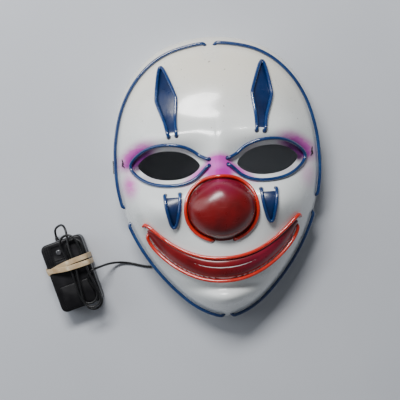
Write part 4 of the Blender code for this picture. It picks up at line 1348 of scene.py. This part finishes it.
def wall_out(height, least):
    """How far out the wall stands at a height, the least or the most across the strap's width."""
    reaches = []
    for offset in (-0.5, 0.0, 0.5):
        y = up_from(STRAP_DOWN) + offset * STRAP_WIDTH
        low, high = HALF_WIDTH * 0.5, rim_reach(1.0, NOSE_Y + (y - NOSE_Y) / HALF_WIDTH)
        for _ in range(HALVINGS):
            middle = (low + high) / 2
            inside = math.hypot(middle, y - NOSE_Y) < rim_reach(middle, y)
            if inside and face_height(middle, y) > height:
                low = middle
            else:
                high = middle
        reaches.append(low)
    return min(reaches) if least else max(reaches)


def strap_profile():
    """Side view of the strap's right half, out of the slot's tab and across to the middle."""
    seat = STRAP_SEAT + STRAP_THICKNESS / 2
    slot = STRAP_SLOT_HEIGHT
    floor = FIT_GAP + STRAP_THICKNESS / 2
    turn = STRAP_TURN
    corner = STRAP_FLOOR_CORNER
    out_x = wall_out(slot, False) + seat
    in_x = wall_out(slot, True) - WALL - seat - FIT_GAP
    tab = [(wall_out(z, False) + seat, z) for z in (slot - STRAP_TAB, slot - STRAP_TAB / 2)]
    through = arc(out_x - turn, slot - turn, turn, 0, 1, 5) + arc(in_x + turn, slot - turn, turn, 1, 2, 5)
    foot = [(in_x, slot / 2)] + arc(in_x - corner, floor + corner, corner, 0, -1, 8) + [(0.0, floor)]
    return [Vector(spot) for spot in tab + through], [Vector(spot) for spot in foot]


def add_strap():
    """A flat ribbed band, laid out flat first and then wrapped along its side view."""
    outside, inside = strap_profile()
    bent_from = length_of(outside)
    profile = spaced(outside + inside, STRAP_STEP)
    marks = marks_along(profile)
    half_length = marks[-1]

    def drift(mark):
        """Height up the face of the band's middle, which rises behind the face."""
        mark = min(mark, 2 * half_length - mark)
        return up_from(STRAP_DOWN) + STRAP_DRIFT * smooth_step(bent_from, half_length, mark)

    shape = bmesh.new()
    cloth = shape.loops.layers.uv.new("cloth")
    rows = []
    offsets = [step / STRAP_STRIPS - 0.5 for step in range(STRAP_STRIPS + 1)]
    reach = 0.001
    for station in range(STRAP_STATIONS + 1):
        mark = 2 * half_length * station / STRAP_STATIONS
        side = 1 if mark <= half_length else -1
        slope = (drift(mark + reach) - drift(mark - reach)) / (2 * reach)
        scale = math.hypot(slope, 1.0)
        row = []
        for offset in offsets:
            along = mark - offset * STRAP_WIDTH * slope / scale
            spot = place_at(profile, marks, min(along, 2 * half_length - along))
            y = drift(mark) + offset * STRAP_WIDTH / scale
            row.append(shape.verts.new((side * spot.x, y, spot.y)))
        rows.append(row)
    for station, (first, second) in enumerate(zip(rows, rows[1:])):
        for index in range(STRAP_STRIPS):
            face = shape.faces.new((first[index], second[index], second[index + 1], first[index + 1]))
            for loop, (ahead, over) in zip(face.loops, ((0, 0), (1, 0), (1, 1), (0, 1))):
                loop[cloth].uv = ((station + ahead) / STRAP_STATIONS, (index + over) / STRAP_STRIPS)
    band = draft("strap_draft", mesh_from(shape, "strap_band"))
    thick = band.modifiers.new("thickness", "SOLIDIFY")
    thick.thickness = STRAP_THICKNESS
    thick.offset = 0.0
    thick.use_even_offset = True
    data = solid_from(band)
    shade_round(data, BAND_SHARP)
    add_piece("strap_band", data, elastic_finish(), nodes=("head_strap",))


def add_stitches():
    """Black thread through the face beside each strap slot."""
    thread = thread_finish()
    for side, hand in SIDES:
        for number, (x, y, half, lean) in enumerate(STITCH_ROWS):
            points = []
            for step in range(STITCH_STEPS + 1):
                swing = math.pi * step / STITCH_STEPS
                reach = -math.cos(swing) * half
                spot = Vector((side * (x + reach * math.sin(lean)), y + reach * math.cos(lean)))
                lift = STITCH_RISE * math.sin(swing) - STITCH_SINK
                points.append(on_face(spot) + face_normal(spot.x, spot.y) * lift)
            name = "stitch_" + hand + "_" + str(number)
            add_piece(name, tube_data(name, points, STITCH_DIAMETER, 2), thread)


# Battery pack


def case_mesh(low, high, pieces, name):
    """One half of the case: a rounded block with softened edges, and its raised and sunk parts."""
    outline = rounded_rectangle(PACK_WIDTH, PACK_LENGTH, PACK_CORNER, CASE_CORNER_STEPS)
    middle = Matrix.Translation((0.0, 0.0, (low + high) / 2))
    half = draft(name, plate_mesh(outline, high - low, name), middle)
    soften(half, PACK_EDGE, 5)
    for data, place, operation in pieces:
        work(half, draft(name + "_form", data, Matrix.Translation(place)), operation)
    bpy.context.view_layer.update()
    matrix = half.matrix_world.copy()
    data = solid_from(half)
    data.transform(matrix)
    shade_round(data, CASE_SHARP)
    return data


def soft_block(size, rounding, name):
    """A rounded block with softened upper and lower edges."""
    width, length, height = size
    corner, edge = rounding
    outline = rounded_rectangle(width, length, corner, BLOCK_CORNER_STEPS)
    block = draft(name, plate_mesh(outline, height, name))
    soften(block, edge, 3)
    bpy.context.view_layer.update()
    return solid_from(block)


def add_pack_piece(name, data, material, node, place=Matrix(), body="mask"):
    add_piece(name, data, material, body, PACK_IN_SCENE @ place, (node,))


def add_pack():
    """The case's two halves, with ridges, a raised end, a panel, a recess and the button's hole."""
    black = case_finish()
    split = PACK_BASE_HEIGHT + PACK_SPLIT
    base = case_mesh(PACK_BASE_HEIGHT, split, [], "case_base")
    add_pack_piece("case_base", base, black, "pack_base")
    step_v = PACK_EDGE + (PACK_STEP_LENGTH - PACK_LENGTH) / 2
    step_size = (PACK_WIDTH - 2 * PACK_CORNER, PACK_STEP_LENGTH, 2 * PACK_STEP_HEIGHT)
    step = soft_block(step_size, STEP_ROUNDING, "raised_end")
    panel = soft_block(PANEL_SIZE, PANEL_ROUNDING, "panel")
    panel_place = (RECESS_PLACE[0], RECESS_PLACE[1] - PANEL_DROP, PACK_TOP)
    pieces = [(step, (0.0, step_v, PACK_TOP), "UNION"), (panel, panel_place, "UNION")]
    ridge_x, ridge_y = RIDGE_PLACE
    for ridge in range(RIDGE_COUNT):
        bar = soft_block(RIDGE_SIZE, RIDGE_ROUNDING, "ridge")
        pieces.append((bar, (ridge_x + RIDGE_PITCH * ridge, ridge_y, PACK_TOP), "UNION"))
    recess = soft_block((RECESS_SIZE, RECESS_SIZE, 2 * RECESS_DEPTH), RECESS_ROUNDING, "recess")
    radius = BUTTON_DIAMETER / 2 + BUTTON_GAP
    deep = BUTTON_HOLE_DEPTH
    hole_profile = ((0.0, -deep), (radius, -deep), (radius, deep), (0.0, deep))
    hole = turned_mesh(hole_profile, TURNED_SIDES, "button_hole")
    for sunk in (recess, hole):
        pieces.append((sunk, (*RECESS_PLACE, PACK_TOP), "DIFFERENCE"))
    lid = case_mesh(split + FIT_GAP, PACK_TOP, pieces, "case_lid")
    add_pack_piece("case_lid", lid, black, "pack_lid")
    add_gland(black)
    add_button()


def add_button():
    """A domed push button, which moves with its own body."""
    top = PACK_TOP - RECESS_DEPTH + BUTTON_TRAVEL + BUTTON_LIP
    profile = [(BUTTON_DIAMETER / 2 * share, top - depth) for share, depth in BUTTON_ROWS]
    data = turned_mesh(profile, TURNED_SIDES, "button_cap")
    place = Matrix.Translation((*RECESS_PLACE, 0.0))
    add_pack_piece("button_cap", data, button_finish(), "mode_button", place, "button")


def add_gland(material):
    """A ribbed, tapered boot where the lead goes in."""
    profile = [(0.0, 0.0), (GLAND_DIAMETER / 2, 0.0)]
    end = CORD_RADIUS + FIT_GAP
    for step in range(1, GLAND_STEPS + 1):
        share = step / GLAND_STEPS
        radius = GLAND_DIAMETER / 2 + (end - GLAND_DIAMETER / 2) * share
        groove = GLAND_GROOVE if step % 3 == 2 else 0.0
        profile.append((radius - groove, GLAND_LENGTH * share))
    profile.append((0.0, GLAND_LENGTH))
    u, z = GLAND_PLACE
    place = Matrix.Translation((u, PACK_LENGTH / 2 + FIT_GAP, z)) @ Matrix.Rotation(-math.pi / 2, 4, "X")
    data = turned_mesh(profile, GLAND_SIDES, "cable_boot", SOFT_SHARP)
    add_pack_piece("cable_boot", data, material, "pack_gland", place=place)


# Rubber band


def convex_hull(spots):
    spots = sorted(set(spots))
    hull = []
    for line in (spots, spots[::-1]):
        chain = []
        for spot in line:
            while len(chain) > 1 and turn_of(chain[-2], chain[-1], spot) <= 0:
                chain.pop()
            chain.append(spot)
        hull += chain[:-1]
    return hull


def turn_of(first, second, third):
    return (second[0] - first[0]) * (third[1] - first[1]) - (second[1] - first[1]) * (third[0] - first[0])


def band_loop(grow):
    """Stretched line round the case and the bundle, seen along the case."""
    side = PACK_WIDTH / 2 - PACK_EDGE
    corners = []
    for hand in (-1, 1):
        corners.append((hand * side, PACK_BASE_HEIGHT + PACK_EDGE, PACK_EDGE))
        corners.append((hand * side, PACK_TOP - PACK_EDGE, PACK_EDGE))
        across = HANK_PLACE[0] + hand * (HANK_WIDTH / 2 - HANK_EDGE)
        corners.append((across, HANK_BASE + HANK_THICKNESS - HANK_EDGE, HANK_EDGE))
    spots = []
    for across, height, radius in corners:
        spots += arc(across, height, radius + grow, 0, 4, BAND_CORNER_STEPS)
    return convex_hull([(round(x, 7), round(y, 7)) for x, y in spots])


def add_rubber_band():
    """One band wound twice round the pack and the bundle, crossing itself on the upper left."""
    hull = [Vector(spot) for spot in band_loop(FIT_GAP / 2)]
    loop = spaced(hull + [hull[0]], BAND_STEP)[:-1]
    count = len(loop)
    start = min(range(count), key=lambda place: (loop[place] - Vector((BAND_START, PACK_TOP))).length)
    thickness = RUBBER_THICKNESS * BAND_FLATNESS
    strip = rounded_rectangle(BAND_STRIP, thickness, RUBBER_THICKNESS * BAND_ROUNDING, 3)
    rows = []
    for step in range(2 * count):
        place = (start + step) % count
        turn = math.pi * step / count
        spot = loop[place]
        way = (loop[(place + 1) % count] - loop[place - 1]).normalized()
        out = Vector((way.y, -way.x))
        along = RUBBER_PLACE + BAND_SPREAD * math.tanh(BAND_SWING * math.sin(turn))
        lift = RUBBER_THICKNESS * (0.5 + 0.45 * (1 + math.cos(turn)) / 2)
        row = []
        for across, height in strip:
            side = spot + out * (lift + height)
            row.append((side.x, along + across, side.y))
        rows.append(row)
    data = grid_mesh(rows, "wound_band", True, True, BAND_SHARP)
    add_band_cloth(data, 2 * count, len(strip))
    add_pack_piece("wound_band", data, rubber_finish(), "rubber_band")


def add_band_cloth(data, rows, columns):
    """Surface places along and across the band, for its finish."""
    layer = data.uv_layers.new(name="cloth")
    for loop in data.loops:
        row, column = divmod(loop.vertex_index, columns)
        layer.data[loop.index].uv = (row / rows * BAND_CLOTH_LENGTH, column / columns)


# Lead


def junction_place(tree):
    """Middle of the sleeve on the cheek's inner side, and the way down from it to the rim."""
    x, y = -JUNCTION_OUT * HALF_WIDTH, up_from(JUNCTION_DOWN)
    normal = face_normal(x, y)
    downhill = (normal * normal.z - Vector((0.0, 0.0, 1.0))).normalized()
    across = downhill.cross(normal)
    clear = WALL + JUNCTION_SEAT
    width, length, thickness = JUNCTION_SIZE
    centre = Vector((x, y, face_height(x, y))) - normal * (clear + thickness / 2)
    for _ in range(SEAT_SWEEPS):
        for side in (-0.5, 0.0, 0.5):
            for end in (-0.5, 0.0, 0.5):
                edge = centre + across * side * width + downhill * end * length + normal * thickness / 2
                centre -= normal * max(clear - tree.find_nearest(edge)[3], 0.0)
    return centre, downhill


def hank_fold(side, reach, hand, low, high):
    """Round end of a turn, from one side (hand) to the other, up (reach > 0) or down the bundle."""
    way = 1 if reach > 0 else -1
    middle = reach - way * HANK_FOLD
    points = []
    for step in range(FOLD_STEPS + 1):
        angle = math.pi * step / FOLD_STEPS
        u = side + hand * HANK_FOLD * math.cos(angle)
        v = middle + way * HANK_FOLD * math.sin(angle)
        points.append((u, v, low + (high - low) * step / FOLD_STEPS))
    return points


def hank_points():
    """The bundled turns in the pack's axes: down one side, round the end, up the other side."""
    middle_u, middle_v = HANK_PLACE
    lowest = HANK_BASE + CORD_RADIUS + FIT_GAP
    level = (HANK_THICKNESS - CORD_DIAMETER - 2 * FIT_GAP) / (len(HANK_TURNS) - 1)
    band = RUBBER_PLACE - middle_v
    half_band = RUBBER_WIDTH / 2
    spots = []
    for number, (top, bottom, top_side, bottom_side, left, right) in enumerate(HANK_TURNS):
        z = lowest + level * number
        if number:
            spots += [(right, band + half_band, z), (right, band - half_band, z)]
        spots += hank_fold(bottom_side, bottom, 1, z, z)
        spots += [(left, band - half_band, z), (left, band + half_band, z)]
        if number < len(HANK_TURNS) - 1:
            spots += hank_fold(top_side, top, -1, z, z + level)
    return [Vector((middle_u + u, middle_v + v, height)) for u, v, height in spots]


def lead_points(tree):
    """The whole lead, from the junction to the bundle, through its turns and into the gland."""
    middle, downhill = junction_place(tree)
    exit_spot = middle + downhill * (JUNCTION_SIZE[1] / 2 + FIT_GAP)
    side = Vector((HANK_PLACE[0] + HANK_WIDTH / 2 + FIT_GAP, LEAD_ENTRY, HANK_BASE + HANK_THICKNESS / 2))
    before = side + Vector((CORD_APPROACH, 0.0, 0.0))
    into = side + Vector(LEAD_INTO)
    bend = side + Vector(LEAD_BEND)
    route = [exit_spot, exit_spot + downhill * CORD_APPROACH] + [Vector(spot) for spot in LEAD_ROUTE]
    hank = hank_points()
    end_v = HANK_PLACE[1] + HANK_LENGTH / 2 + FIT_GAP
    end = Vector((HANK_PLACE[0], end_v, HANK_BASE + HANK_THICKNESS / 2))
    after = end + Vector((0.0, CORD_APPROACH, 0.0))
    rise_u, rise_v = HANK_PLACE[0] + TAIL_RISE[0], end_v + TAIL_RISE[1]
    rise = Vector((rise_u, rise_v, HANK_BASE + HANK_THICKNESS - CORD_DIAMETER))
    u, z = GLAND_PLACE
    gland_end = Vector((u, PACK_LENGTH / 2 + GLAND_LENGTH + 2 * FIT_GAP, z))
    tail = [end, after] + [Vector(spot) for spot in reversed(TAIL_ROUTE)] + [gland_end]
    route += [PACK_FRAME @ spot for spot in [before, side, into, bend] + hank + [rise] + tail]
    return exit_spot, eased(spaced(smooth_curve(route, LEAD_STEPS), CORD_STEP), LEAD_EASING)


def add_lead(tree):
    exit_spot, points = lead_points(tree)
    curve = tube_data("lead", points, CORD_DIAMETER)
    nodes = ("lead_cord", "cord_hank", "cord_tail")
    lead = add_piece("lead", curve, cable_finish(), nodes=nodes)


def dress_node(name, material):
    """Give a CAD node that keeps its shape its own finish."""
    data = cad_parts[name].data
    data.materials.clear()
    data.materials.append(material)


def main():
    add_camera()
    half_face = half_face_mesh()
    tree = face_tree(half_face)
    add_lead(tree)
    holes = []
    add_light_wires(tree, holes)
    add_shell(half_face, holes)
    add_marks()
    add_nose_paint()
    add_lip_paint()
    add_strap()
    add_stitches()
    add_pack()
    add_rubber_band()
    dress_node("wire_junction", cable_finish())
    add_studio()


main()
